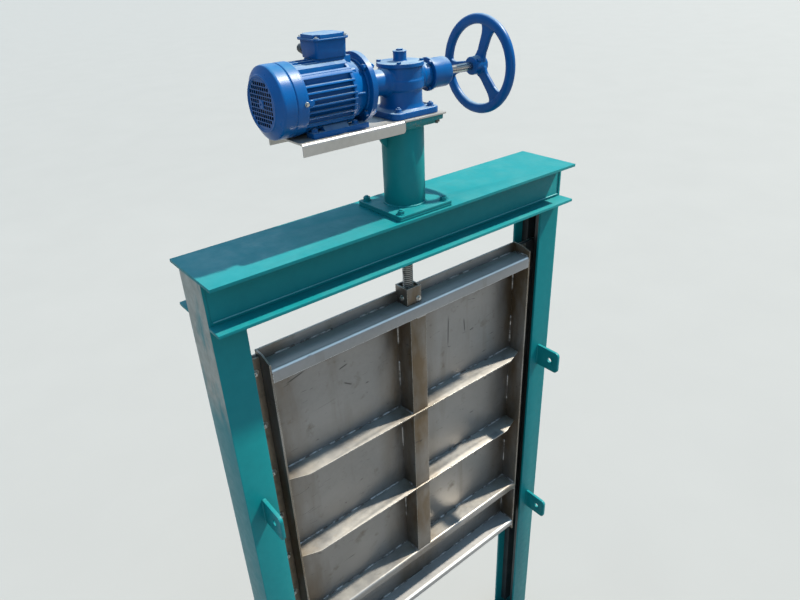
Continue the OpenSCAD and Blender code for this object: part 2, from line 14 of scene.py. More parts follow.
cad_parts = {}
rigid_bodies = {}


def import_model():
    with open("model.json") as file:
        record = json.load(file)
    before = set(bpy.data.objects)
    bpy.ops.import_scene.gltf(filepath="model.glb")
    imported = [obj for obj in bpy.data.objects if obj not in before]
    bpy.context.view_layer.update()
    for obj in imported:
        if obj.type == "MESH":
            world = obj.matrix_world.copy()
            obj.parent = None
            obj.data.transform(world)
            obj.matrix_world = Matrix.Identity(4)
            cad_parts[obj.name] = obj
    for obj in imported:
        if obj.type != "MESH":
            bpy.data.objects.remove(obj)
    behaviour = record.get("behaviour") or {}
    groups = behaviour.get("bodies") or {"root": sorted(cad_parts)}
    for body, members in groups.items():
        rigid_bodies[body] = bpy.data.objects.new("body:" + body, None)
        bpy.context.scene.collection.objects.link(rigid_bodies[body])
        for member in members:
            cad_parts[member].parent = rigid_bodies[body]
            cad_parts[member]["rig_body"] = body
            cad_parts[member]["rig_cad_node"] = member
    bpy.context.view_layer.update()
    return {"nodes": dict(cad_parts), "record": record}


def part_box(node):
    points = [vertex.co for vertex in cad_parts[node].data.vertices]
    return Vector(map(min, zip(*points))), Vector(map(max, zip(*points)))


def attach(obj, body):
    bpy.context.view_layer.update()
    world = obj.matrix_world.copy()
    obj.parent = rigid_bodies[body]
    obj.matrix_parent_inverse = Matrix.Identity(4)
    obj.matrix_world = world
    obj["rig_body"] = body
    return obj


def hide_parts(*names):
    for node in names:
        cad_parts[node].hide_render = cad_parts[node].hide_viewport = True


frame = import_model()
RECORD = frame["record"]

bl_info = {
    "name": "Sluice gate looks",
    "version": (1, 0, 0),
    "blender": (4, 5, 0),
    "location": "View3D > Sidebar > Sluice gate",
    "description": "Paint, sheet metal, castings, thread, bolts and welds for a motorised sluice gate",
    "category": "Object",
}

NODE_SLOT = {s["node"]: s["material_slot"] for s in RECORD["subparts"]}
NODE_BODY = {n: b for b, ns in RECORD["behaviour"]["bodies"].items() for n in ns}
STEM_LOW, STEM_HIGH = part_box("stem")
WHEEL_LOW, WHEEL_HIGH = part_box("handwheel")
AXIS_Y = (STEM_LOW.y + STEM_HIGH.y) / 2
AXIS_Z = (WHEEL_LOW.z + WHEEL_HIGH.z) / 2
FULL_TURN = 2 * math.pi
FINISHES = {}

# Directions, the four corners of a square, and the angles of bolts between the axes
EAST, WEST, SOUTH, UP, DOWN = (1, 0, 0), (-1, 0, 0), (0, -1, 0), (0, 0, 1), (0, 0, -1)
CORNERS = ((-1, -1), (-1, 1), (1, -1), (1, 1))
DIAGONALS = (45, 135, 225, 315)

# Body, slot and finish of the painted pieces
ENAMEL = ("frame", "blue_enamel", "blue_enamel")
TEAL = ("frame", "teal_paint", "teal_paint")

# Heights of the wall lugs, how far out the grey on the posts' outer faces begins and is full, and the heights between
# which the grey fades out downwards
LUG_LEVELS = (0.793, 1.503)
POST_FACE = (0.59885, 0.5995)
GREY_FADE_HEIGHT = (1.8, 1.9)

# Scratches on the leaf's skin: middle across and up, half length, and turn from upright
SCARS = ((0.1732, 1.7264, 0.06, 0.02), (0.2447, 1.7201, 0.028, -0.1), (0.2785, 1.692, 0.01, 1.39),
         (-0.2284, 1.7788, 0.017, 1.34), (-0.3772, 1.8154, 0.033, 1.31), (-0.2178, 1.7156, 0.018, -0.97))

# Colours of small marks, near-black painted shade with grease for thread grooves, a painted highlight for folded
# edges, the sky's colours, the sun's direction, and the camera's place and its right, up and back
BARE_STEEL, RUST_SPECK = (0.16, 0.14, 0.12), (0.2, 0.15, 0.1)
GROOVE_SHADE_AND_GREASE, PAINTED_BEND_HIGHLIGHT = (0.016, 0.014, 0.012), (0.82, 0.8, 0.76)
HORIZON, ZENITH, SUN = (0.2, 0.21, 0.22), (0.34, 0.66, 1.0), (0.7, -0.16, 1.0)
CAMERA_PLACE = (-1.008245, -1.252805, 2.79046)
CAMERA_AXES = ((0.77243167, -0.63393051, -0.03848922), (0.33100252, 0.35011683, 0.87627367),
               (-0.54202089, -0.68960156, 0.48027392))


# Sizes and colours


def length(name, text, default):
    return FloatProperty(name=name, description=text, default=default, min=0, unit="LENGTH", precision=4)


def colour(name, text, default):
    return FloatVectorProperty(name=name, description=text, default=default, size=3, min=0, max=1, subtype="COLOR")


class GateColours(bpy.types.PropertyGroup):
    """Base colours of the finishes"""

    teal: colour("Teal paint", "Paint of the frame and the pedestal", (0.003, 0.145, 0.155))
    blue: colour("Blue enamel", "Enamel of the motor, gearbox and handwheel", (0.000, 0.06, 0.2))
    sheet: colour("Weathered sheet", "Stainless sheet of the leaf", (0.198, 0.19, 0.182))
    stain: colour("Brown stain", "Silt and rust marks on the sheet", (0.135, 0.096, 0.058))
    bright: colour("Bright sheet", "Clean stainless of the tray and bare edges", (0.4, 0.385, 0.36))
    steel: colour("Machined steel", "Screw and handwheel shaft", (0.42, 0.4, 0.37))
    rubber: colour("Rubber", "Seals", (0.018, 0.017, 0.016))
    bronze: colour("Bronze", "Nut on the screw", (0.42, 0.25, 0.1))
    cement: colour("Cement wash", "Grey wash on the outer faces of the posts", (0.33, 0.31, 0.26))
    dust: colour("Dust", "Dust that lies on upward faces", (0.34, 0.31, 0.26))
    # Partly dust and partly a painted sheen: it makes the enamel's upward faces paler, as where they catch the light
    film: colour("Enamel film", "Pale film on the upward faces of the enamel", (0.19, 0.25, 0.29))
    floor: colour("Floor", "Plain studio floor", (0.22, 0.215, 0.205))


class GateSizes(bpy.types.PropertyGroup):
    """Sizes of the small details"""

    plate_edge: length("Plate edge", "Rounding of plate edges", 0.0009)
    thread_pitch: length("Thread pitch", "Pitch of the lifting screw", 0.006)
    thread_depth: length("Thread depth", "Depth of the lifting screw's thread", 0.0028)
    weld_radius: length("Weld bead", "Radius of a weld bead", 0.0034)
    stitch: length("Stitch length", "Length of a stitch weld on the leaf", 0.118)
    strip_bolt_pitch: length("Clamp bolt pitch", "Distance between bolts on the clamp strips", 0.164)


def sizes():
    return bpy.context.scene.gate_sizes


def colours():
    return bpy.context.scene.gate_colours


# Modelling helpers


def only(piece):
    """Leaves one piece selected, or none."""
    if bpy.context.object and bpy.context.object.mode != "OBJECT":
        bpy.ops.object.mode_set(mode="OBJECT")
    bpy.ops.object.select_all(action="DESELECT")
    if piece is not None:
        piece.select_set(True)
        bpy.context.view_layer.objects.active = piece
    return piece


def shape(name, add, **values):
    """Adds a primitive with nothing else selected."""
    only(None)
    add(**values)
    piece = bpy.context.object
    piece.name = piece.data.name = name
    return piece


def settle(piece):
    only(piece)
    bpy.ops.object.transform_apply(location=True, rotation=True, scale=True)
    return piece


def modify(piece, kind, **values):
    """Adds a modifier and applies it."""
    only(piece)
    modifier = piece.modifiers.new(kind, kind)
    for key, value in values.items():
        setattr(modifier, key, value)
    bpy.ops.object.modifier_apply(modifier=modifier.name)
    return piece


def edit(piece, mode, chosen):
    """Opens edit mode with the corners, edges or faces that chosen picks."""
    only(piece)
    bpy.ops.object.mode_set(mode="EDIT")
    bpy.ops.mesh.select_mode(type=mode)
    bpy.ops.mesh.select_all(action="DESELECT")
    mesh = bmesh.from_edit_mesh(piece.data)
    for element in {"VERT": mesh.verts, "EDGE": mesh.edges, "FACE": mesh.faces}[mode]:
        if chosen(element):
            element.select_set(True)
    mesh.select_flush_mode()
    bmesh.update_edit_mesh(piece.data)


def close():
    bpy.ops.object.mode_set(mode="OBJECT")


def everything(element):
    return True


def join(pieces, name):
    only(pieces[0])
    for piece in pieces:
        piece.select_set(True)
    if len(pieces) > 1:
        bpy.ops.object.join()
    pieces[0].name = pieces[0].data.name = name
    return settle(pieces[0])


def turned(name, profile, steps=72, ring=False):
    """A shape turned round Z. The profile's pairs are radius and height, from axis to axis unless it is a ring."""
    piece = shape(name, bpy.ops.mesh.primitive_circle_add, vertices=len(profile), fill_type="NOTHING")
    for vertex, (radius, height) in zip(piece.data.vertices, profile):
        vertex.co = (radius, 0, height)
    if not ring:
        last = len(profile) - 1
        edit(piece, "EDGE", lambda e: {v.index for v in e.verts} == {0, last})
        bpy.ops.mesh.delete(type="EDGE")
        close()
    edit(piece, "VERT", everything)
    bpy.ops.mesh.spin(steps=steps, angle=FULL_TURN, center=(0, 0, 0), axis=(0, 0, 1))
    bpy.ops.mesh.select_all(action="SELECT")
    bpy.ops.mesh.remove_doubles(threshold=1e-6)
    bpy.ops.mesh.normals_make_consistent(inside=False)
    close()
    return piece


def aimed(point, direction, twist):
    """The transform that takes a shape made round Z to a point, along a direction."""
    turn = Vector(direction).to_track_quat("Z", "Y").to_matrix().to_4x4()
    return Matrix.Translation(point) @ turn @ Matrix.Rotation(twist, 4, "Z")


def stand(piece, point, direction=UP, twist=0.0):
    piece.matrix_world = aimed(point, direction, twist)
    return settle(piece)


def on_axis(name, profile, x, steps=96, ring=False):
    """A shape turned round the motor's axis, from x towards the handwheel."""
    return stand(turned(name, profile, steps, ring), (x, AXIS_Y, AXIS_Z), EAST)


def copies(master, places, name):
    """Copies of a master, each with its own mesh, joined into one piece. A place is point, direction and twist."""
    made = []
    for point, direction, twist in places:
        only(master)
        bpy.ops.object.duplicate(linked=False)
        copy = bpy.context.object
        copy.matrix_world = aimed(point, direction, twist)
        made.append(copy)
    return join(made, name)


def drop(piece):
    only(piece)
    bpy.ops.object.delete()


def prism(name, outline, depth, edge=0.0, both=False, segments=2):
    """A flat outline in XY, corner by corner, raised from z 0 to its depth. Its upper rim is rounded, or both."""
    piece = shape(name, bpy.ops.mesh.primitive_circle_add, vertices=len(outline), fill_type="NGON")
    for vertex, (x, y) in zip(piece.data.vertices, outline):
        vertex.co = (x, y, 0)
    edit(piece, "FACE", everything)
    bpy.ops.mesh.extrude_region_move(TRANSFORM_OT_translate={"value": (0, 0, depth)})
    bpy.ops.mesh.select_all(action="SELECT")
    bpy.ops.mesh.normals_make_consistent(inside=False)
    close()
    if edge:
        edit(piece, "EDGE", lambda e: all(v.co.z > depth * 0.9 for v in e.verts) or
             (both and all(v.co.z < depth * 0.1 for v in e.verts)))
        bpy.ops.mesh.bevel(offset=edge, segments=segments)
        close()
    return piece


def arc(x, y, radius, start, end, steps=6):
    """Points of an arc, with its angles in degrees."""
    angles = [math.radians(start + (end - start) * i / steps) for i in range(steps + 1)]
    return [(x + radius * math.cos(a), y + radius * math.sin(a)) for a in angles]


def round_corners(width, depth, radius, steps=6):
    """The outline of a rectangle with round corners."""
    points = []
    for quarter, (sx, sy) in enumerate(((1, 1), (-1, 1), (-1, -1), (1, -1))):
        start = quarter * 90
        points += arc(sx * (width / 2 - radius), sy * (depth / 2 - radius), radius, start, start + 90, steps)
    return points


def block(name, low, high, edge=0.0, segments=2):
    """A bar or plate between two corners, with rounded edges."""
    centre = [(a + b) / 2 for a, b in zip(low, high)]
    piece = shape(name, bpy.ops.mesh.primitive_cube_add, size=1, location=centre)
    piece.scale = [b - a for a, b in zip(low, high)]
    settle(piece)
    if edge:
        modify(piece, "BEVEL", width=edge, segments=segments, limit_method="NONE")
    return piece


def cast(parts, name, voxel=0.0017, rounds=4):
    """Closed shapes melted into one casting, with soft inner corners."""
    piece = join(parts, name)
    modify(piece, "REMESH", mode="VOXEL", voxel_size=voxel)
    return modify(piece, "SMOOTH", factor=0.5, iterations=rounds)


def fastener(name, across, head, washer=0.0, stud=0.0):
    """A hexagon head or nut on its washer, standing on z 0, with the end of its stud."""
    base = 0.0018 if washer else 0.0
    body = shape(name, bpy.ops.mesh.primitive_cylinder_add, vertices=6, radius=across / math.sqrt(3), depth=head,
                 location=(0, 0, base + head / 2))
    settle(body)
    edit(body, "EDGE", lambda e: all(v.co.z > base + head * 0.9 for v in e.verts))
    bpy.ops.mesh.bevel(offset=across * 0.07, segments=2)
    close()
    parts = [body]
    if washer:
        parts.append(turned(name + "_washer", [(0, 0), (washer, 0), (washer, base * 0.6), (washer - 0.0005, base),
                                               (0, base)], 20))
    if stud:
        radius, top = across * 0.31, base + head + stud
        parts.append(turned(name + "_stud", [(0, base), (radius, base), (radius, top - 0.001), (radius - 0.001, top),
                                             (0, top)], 14))
    return join(parts, name)


def bolts(name, places, body, slot, finish, across, head, washer=0.0, stud=0.0):
    """One group of like bolts. A place is a point and the way that the head looks."""
    master = fastener(name + "_first", across, head, washer, stud)
    made = copies(master, [(point, way, random.uniform(0, 1)) for point, way in places], name)
    drop(master)
    return fit(made, body, slot, finish)


def bead(name, reach, radius, ripple=0.0026):
    """A rippled weld bead along Z, centred on the origin."""
    count = max(4, round(reach / ripple))
    profile = [(0.0, -reach / 2 - radius * 0.5)]
    for i in range(count + 1):
        swell = radius * (1.0 if i % 2 else 0.84) * random.uniform(0.93, 1.07)
        profile.append((swell * (0.6 if i in (0, count) else 1.0), -reach / 2 + reach * i / count))
    profile.append((0.0, reach / 2 + radius * 0.5))
    return turned(name, profile, 8)


def welds(name, runs, radius, body, slot, finish):
    """Weld beads. A run is its middle, its direction and its length."""
    made = []
    for point, way, reach in runs:
        made.append(stand(bead(name + "_bead", reach, radius), point, way, random.uniform(0, 1)))
    return fit(join(made, name), body, slot, finish, smooth=60)


def around(x, radius, angles):
    """Points on a circle round the motor's axis at x, with angles in degrees from -Y."""
    centre = Vector((x, AXIS_Y, AXIS_Z))
    return [centre + Vector((0, -radius * math.cos(a), radius * math.sin(a))) for a in map(math.radians, angles)]


def ring_of(x, radius, angles, way):
    return [(point, way) for point in around(x, radius, angles)]


def square(x, y, height, way=UP):
    """Places for four bolts, x and y away from the screw's axis."""
    return [((x * sx, AXIS_Y + y * sy, height), way) for sx, sy in CORNERS]


def fit(piece, body, slot, finish, stands_for=(), smooth=32):
    """Finishes a piece: its shading, finish, body and the CAD nodes that it stands for. The slot is not used."""
    settle(piece)
    bpy.ops.object.shade_smooth_by_angle(angle=math.radians(smooth))
    piece.data.materials.clear()
    piece.data.materials.append(FINISHES[finish])
    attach(piece, body)
    if stands_for:
        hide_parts(*stands_for)
    return piece


def softened(node, edge, finish, segments=2):
    """A merged copy of a CAD node with rounded edges, which stands for it."""
    only(frame["nodes"][node])
    bpy.ops.object.duplicate(linked=False)
    piece = bpy.context.object
    piece.parent = None
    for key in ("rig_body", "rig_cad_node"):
        del piece[key]
    piece.name = piece.data.name = node + "_dressed"
    only(piece)
    bpy.ops.mesh.customdata_custom_splitnormals_clear()
    edit(piece, "VERT", everything)
    bpy.ops.mesh.remove_doubles(threshold=2e-6)
    bpy.ops.mesh.dissolve_limited(angle_limit=math.radians(0.5))
    close()
    modify(piece, "BEVEL", width=edge, segments=segments, limit_method="ANGLE", angle_limit=math.radians(40),
           use_clamp_overlap=True)
    return fit(piece, NODE_BODY[node], NODE_SLOT[node], finish, [node], smooth=28)


# Shader helpers and groups


def add(tree, kind, settings=None, **inputs):
    """Adds a shader node. Inputs are values or sockets, by name with _ for a space, or as i0, i1 by number."""
    made = tree.nodes.new("ShaderNode" + kind)
    for key, value in (settings or {}).items():
        setattr(made, key, value)
    for key, value in inputs.items():
        numbered = key[0] == "i" and key[1:].isdigit()
        socket = made.inputs[int(key[1:]) if numbered else key.replace("_", " ")]
        if isinstance(value, bpy.types.NodeSocket):
            tree.links.new(value, socket)
        else:
            socket.default_value = value
    return made


def math_node(tree, operation, a, b=0.0, clamp=False):
    return add(tree, "Math", {"operation": operation, "use_clamp": clamp}, i0=a, i1=b).outputs[0]


def times(tree, a, b):
    return math_node(tree, "MULTIPLY", a, b)


def vectors(tree, operation, a, b=(0, 0, 0)):
    return add(tree, "VectorMath", {"operation": operation}, i0=a, i1=b).outputs


def axes(tree, vector):
    return add(tree, "SeparateXYZ", Vector=vector).outputs


def noise(tree, vector, scale, detail, roughness=0.5):
    return add(tree, "TexNoise", Vector=vector, Scale=scale, Detail=detail, Roughness=roughness).outputs[0]


def between(tree, value, low, high, to_low=0.0, to_high=1.0):
    """A value between two limits, brought to the range from to_low to to_high."""
    made = add(tree, "MapRange", {"clamp": True}, Value=value, From_Min=low, From_Max=high, To_Min=to_low,
               To_Max=to_high)
    return made.outputs[0]


def blend(tree, mask, low, high, share=1.0):
    """One colour to another by a share of a mask. A colour is a socket or three numbers."""
    if share != 1.0:
        mask = times(tree, mask, share)
    low, high = (end if isinstance(end, bpy.types.NodeSocket) else (*end, 1.0) for end in (low, high))
    return add(tree, "Mix", {"data_type": "RGBA"}, i0=mask, i6=low, i7=high).outputs[2]


def tone(values, factor):
    """A lighter or darker shade of a colour."""
    return tuple(v * factor for v in values)


def new_group(name, **defaults):
    """A shader node group that takes coordinates and named values and puts out one mask."""
    group = bpy.data.node_groups.new(name, "ShaderNodeTree")
    group.interface.new_socket(name="Vector", in_out="INPUT", socket_type="NodeSocketVector")
    for socket, default in defaults.items():
        kind = "NodeSocketVector" if isinstance(default, tuple) else "NodeSocketFloat"
        group.interface.new_socket(name=socket, in_out="INPUT", socket_type=kind).default_value = default
    group.interface.new_socket(name="Mask", in_out="OUTPUT", socket_type="NodeSocketFloat")
    return group, group.nodes.new("NodeGroupInput").outputs, group.nodes.new("NodeGroupOutput").inputs["Mask"]


def limited(group, given, vector, detail, roughness):
    """A noise at a group's Scale, between its Low and High."""
    return between(group, noise(group, vector, given["Scale"], detail, roughness), given["Low"], given["High"])


def build_groups():
    # Soft patches, from a stretched noise
    group, given, mask = new_group("patches", Stretch=(1, 1, 1), Scale=5.0, Detail=4.0, Low=0.4, High=0.6)
    scaled = vectors(group, "MULTIPLY", given["Vector"], given["Stretch"])[0]
    group.links.new(limited(group, given, scaled, given["Detail"], 0.6), mask)
    # Bare edges, broken up by a noise
    group, given, mask = new_group("edge_wear", Radius=0.0012, Scale=60.0, Low=0.5, High=0.62)
    rounded = add(group, "Bevel", {"samples": 4}, Radius=given["Radius"]).outputs[0]
    same = vectors(group, "DOT_PRODUCT", rounded, add(group, "NewGeometry").outputs["Normal"])["Value"]
    worn = limited(group, given, given["Vector"], 5.0, 0.65)
    group.links.new(times(group, between(group, same, 0.995, 0.93), worn), mask)
    # Dust on faces that look up
    group, given, mask = new_group("settled_dust", Scale=12.0, Low=0.35, High=0.7)
    facing_up = axes(group, add(group, "TexCoord").outputs["Normal"])[2]
    lying = limited(group, given, given["Vector"], 7.0, 0.65)
    group.links.new(times(group, between(group, facing_up, 0.55, 0.95), lying), mask)
    # Thin scratches: the middle line of a stretched noise, kept only in places
    group, given, mask = new_group("scratches", Turn=(0, 0.6, 0), Scale=9.0, Width=0.006, Amount=0.62)
    laid = add(group, "Mapping", Vector=given["Vector"], Rotation=given["Turn"], Scale=(1, 1, 6)).outputs[0]
    off = math_node(group, "SUBTRACT", noise(group, laid, given["Scale"], 1.0, 0.4), 0.5)
    near = math_node(group, "DIVIDE", math_node(group, "ABSOLUTE", off), given["Width"])
    where = noise(group, laid, times(group, given["Scale"], 1.7), 2.0)
    kept = between(group, where, given["Amount"], math_node(group, "ADD", given["Amount"], 0.05))
    group.links.new(times(group, between(group, near, 1.0, 0.2), kept), mask)


def use(tree, group, place, **inputs):
    """The mask of a group, placed in a material with its own values."""
    return add(tree, "Group", {"node_tree": bpy.data.node_groups[group]}, Vector=place, **inputs).outputs[0]


def patches(tree, place, scale, detail, low, high, stretch=(1, 1, 1)):
    return use(tree, "patches", place, Stretch=stretch, Scale=scale, Detail=detail, Low=low, High=high)


def new_finish(name):
    """A material with its Principled shader, its tree and the Object coordinates."""
    made = FINISHES[name] = bpy.data.materials.new("finish_" + name)
    made.use_nodes = True
    tree = made.node_tree
    return tree, tree.nodes["Principled BSDF"], add(tree, "TexCoord").outputs["Object"]


def connect(tree, shader, hue, rough, metal, height, strength, distance):
    """Feeds a finish's colour, roughness, metal and relief to its shader."""
    bump = add(tree, "Bump", Height=height, Strength=strength, Distance=distance).outputs[0]
    for socket, value in (("Base Color", hue), ("Roughness", rough), ("Metallic", metal), ("Normal", bump)):
        if value is not None:
            tree.links.new(value, shader.inputs[socket])


def paint(name, base, dark, light, gloss, grain, chip, dust_low, dusty=0.2, washed=False, film=None, shine=0.5,
          spotty=0.7):
    """Paint over steel: patchy colour, fine orange peel, chipped edges and dust. Where a film colour is given, the
    dust mask also paints a sheen on upward faces.
    """
    tree, shader, place = new_finish(name)
    broad = patches(tree, place, 3.0, 3.0, 0.35, 0.65)
    fine = patches(tree, place, 38.0, 6.0, 0.3, 0.75)
    hue = blend(tree, broad, base, light, 0.5)
    hue = blend(tree, fine, hue, dark, 0.35)
    hue = blend(tree, patches(tree, place, 26.0, 4.0, 0.56, 0.72, (1, 1, 0.06)), hue, light, 0.15)
    # Dust on upward faces; with a film colour the same mask also paints a sheen there
    dust = use(tree, "settled_dust", place, Scale=14.0, Low=dust_low, High=dust_low + 0.4)
    hue = blend(tree, dust, hue, film or colours().dust, dusty)
    specks = patches(tree, place, 150.0, 2.0, spotty, spotty + 0.04)
    hue = blend(tree, specks, hue, dark if spotty > 0.65 else RUST_SPECK, 0.5)
    bare = use(tree, "edge_wear", place, Radius=0.0014, Scale=55.0, Low=chip, High=chip + 0.05)
    hue = blend(tree, bare, hue, BARE_STEEL)
    # Grey on the posts' outer faces, fading out downwards between two heights
    if washed:
        across, _, up = axes(tree, place)
        outside = between(tree, math_node(tree, "ABSOLUTE", across), *POST_FACE)
        thin = patches(tree, place, 20.0, 6.0, 0.28, 0.5, (1, 1, 0.35))
        wander = math_node(tree, "ADD", up, times(tree, broad, 0.05))
        wash = times(tree, times(tree, outside, thin), between(tree, wander, *GREY_FADE_HEIGHT, 0.12, 1.0))
        cement = colours().cement
        hue = blend(tree, wash, hue, blend(tree, fine, cement, tone(cement, 0.72)))
        dust = math_node(tree, "MAXIMUM", dust, wash)
    rough = between(tree, fine, 0, 1, gloss, gloss + 0.12)
    rough = math_node(tree, "ADD", rough, times(tree, dust, 0.25), True)
    shader.inputs["Specular IOR Level"].default_value = shine
    height = math_node(tree, "ADD", noise(tree, place, grain, 3.0), times(tree, broad, 0.5))
    height = math_node(tree, "SUBTRACT", height, times(tree, bare, 0.8))
    connect(tree, shader, hue, rough, times(tree, bare, 0.6), height, 0.3, 0.0005)


def scar(tree, place, x, z, reach, turn):
    """The mask of one straight scratch on the leaf."""
    moved = vectors(tree, "SUBTRACT", place, (x, 0, z))[0]
    laid = axes(tree, add(tree, "Mapping", Vector=moved, Rotation=(0, -turn, 0)).outputs[0])
    across = between(tree, math_node(tree, "ABSOLUTE", laid[0]), 0.003, 0.0012)
    along = between(tree, math_node(tree, "ABSOLUTE", laid[2]), reach, reach * 0.55)
    return times(tree, across, along)


def sheet_metal(name, base, stain, edge, rough, stained, scratched, metallic=0.85, dusty=0.15, edge_radius=0.0016,
                bend=0.0, leaf=False):
    """Stainless sheet: mill finish, silt stains, dark scratches and bright edges. The bright edges are worn metal, and
    with a wide edge radius or a bend they are also painted highlights.
    """
    tree, shader, place = new_finish(name)
    broad = patches(tree, place, 2.6, 3.0, 0.32, 0.68, (1, 1, 1.6))
    fine = patches(tree, place, 70.0, 6.0, 0.3, 0.75)
    spots = patches(tree, place, 24.0, 5.0, stained, stained + 0.16)
    runs = patches(tree, place, 14.0, 5.0, stained - 0.03, stained + 0.2, (1, 1, 0.12))
    hue = blend(tree, broad, base, tone(base, 0.8))
    hue = blend(tree, fine, hue, tone(base, 1.25), 0.3)
    hue = blend(tree, runs, hue, stain, 0.6)
    hue = blend(tree, spots, hue, tone(stain, 0.8), 0.65)
    if leaf:
        # Silt beside the box stiffener and the side plates
        across = math_node(tree, "ABSOLUTE", axes(tree, place)[0])
        near = math_node(tree, "MAXIMUM", between(tree, across, 0.13, 0.03), between(tree, across, 0.36, 0.46))
        cloud = patches(tree, place, 9.0, 5.0, 0.3, 0.62, (1, 1, 0.35))
        hue = blend(tree, times(tree, near, cloud), hue, tone(stain, 0.85))
    if bend:
        # Painted highlight on the outside of a folded edge, between its top and its front
        normal = axes(tree, add(tree, "TexCoord").outputs["Normal"])
        corner = times(tree, normal[2], times(tree, normal[1], -1.0))
        hue = blend(tree, between(tree, corner, 0.32, 0.49), hue, PAINTED_BEND_HIGHLIGHT, bend)
    marks = math_node(tree, "MAXIMUM", *(
        use(tree, "scratches", place, Turn=(0, turn, 0), Scale=scale, Width=0.012, Amount=amount)
        for turn, scale, amount in ((0.5, 7.0, scratched), (-0.9, 11.0, scratched + 0.02))))
    for spot in SCARS if leaf else ():
        marks = math_node(tree, "MAXIMUM", marks, scar(tree, place, *spot))
    hue = blend(tree, marks, hue, (0.035, 0.032, 0.03), 0.75)
    # Bright worn edges; with a wide edge radius, as on the channel, they are also a painted highlight
    bright = use(tree, "edge_wear", place, Radius=edge_radius, Scale=30.0, Low=0.3, High=0.5)
    hue = blend(tree, bright, hue, edge)
    dust = use(tree, "settled_dust", place, Scale=9.0, Low=0.3, High=0.75)
    hue = blend(tree, dust, hue, colours().dust, dusty)
    dull = math_node(tree, "MAXIMUM", spots, runs)
    worn = between(tree, math_node(tree, "ADD", dull, fine), 0, 2, rough, rough + 0.25)
    covered = math_node(tree, "ADD", dull, times(tree, dust, 2.0))
    metal = between(tree, covered, 0, 2, metallic, metallic * 0.15)
    rolled = add(tree, "Mapping", Vector=place, Scale=(1, 1, 14)).outputs[0]
    height = math_node(tree, "ADD", times(tree, noise(tree, rolled, 60.0, 4.0), 0.4), times(tree, broad, 1.6))
    height = math_node(tree, "SUBTRACT", height, times(tree, marks, 0.6))
    connect(tree, shader, hue, worn, metal, height, 0.25, 0.0008)


def plain_metal(name, base, mark, rough, patchy, grain=0.0002, metallic=1.0, grooves=None):
    """Machined or plated metal with darker oily or rusty patches, and a thread's grooves darkened with painted shade
    and grease.
    """
    tree, shader, place = new_finish(name)
    patch = patches(tree, place, 45.0, 6.0, patchy, patchy + 0.15)
    fine = patches(tree, place, 260.0, 3.0, 0.3, 0.7, (1, 1, 0.2))
    hue = blend(tree, fine, base, tone(base, 0.7), 0.35)
    hue = blend(tree, patch, hue, mark)
    # Painted shade, with grease, makes the thread's grooves near black
    if grooves:
        aside = vectors(tree, "SUBTRACT", place, (0, AXIS_Y, 0))[0]
        away = vectors(tree, "LENGTH", vectors(tree, "MULTIPLY", aside, (1, 1, 0))[0])["Value"]
        hue = blend(tree, between(tree, away, *grooves), hue, GROOVE_SHADE_AND_GREASE)
    metal = between(tree, patch, 0, 1, metallic, metallic * 0.35)
    rough = between(tree, patch, 0, 1, rough, rough + 0.3)
    connect(tree, shader, hue, rough, metal, math_node(tree, "ADD", fine, patch), 0.25, grain)


def dull_black(name, base, dusty, rough, grain):
    """Rubber or plastic with a fine grain and pale dust."""
    tree, shader, place = new_finish(name)
    fine = patches(tree, place, 90.0, 5.0, 0.35, 0.7)
    film = patches(tree, place, 8.0, 5.0, 0.45, 0.8)
    hue = blend(tree, fine, base, tone(base, 2.2), 0.5)
    hue = blend(tree, film, hue, tone(colours().dust, 0.5), dusty)
    connect(tree, shader, hue, between(tree, fine, 0, 1, rough, rough + 0.15), None, fine, 0.3, grain)


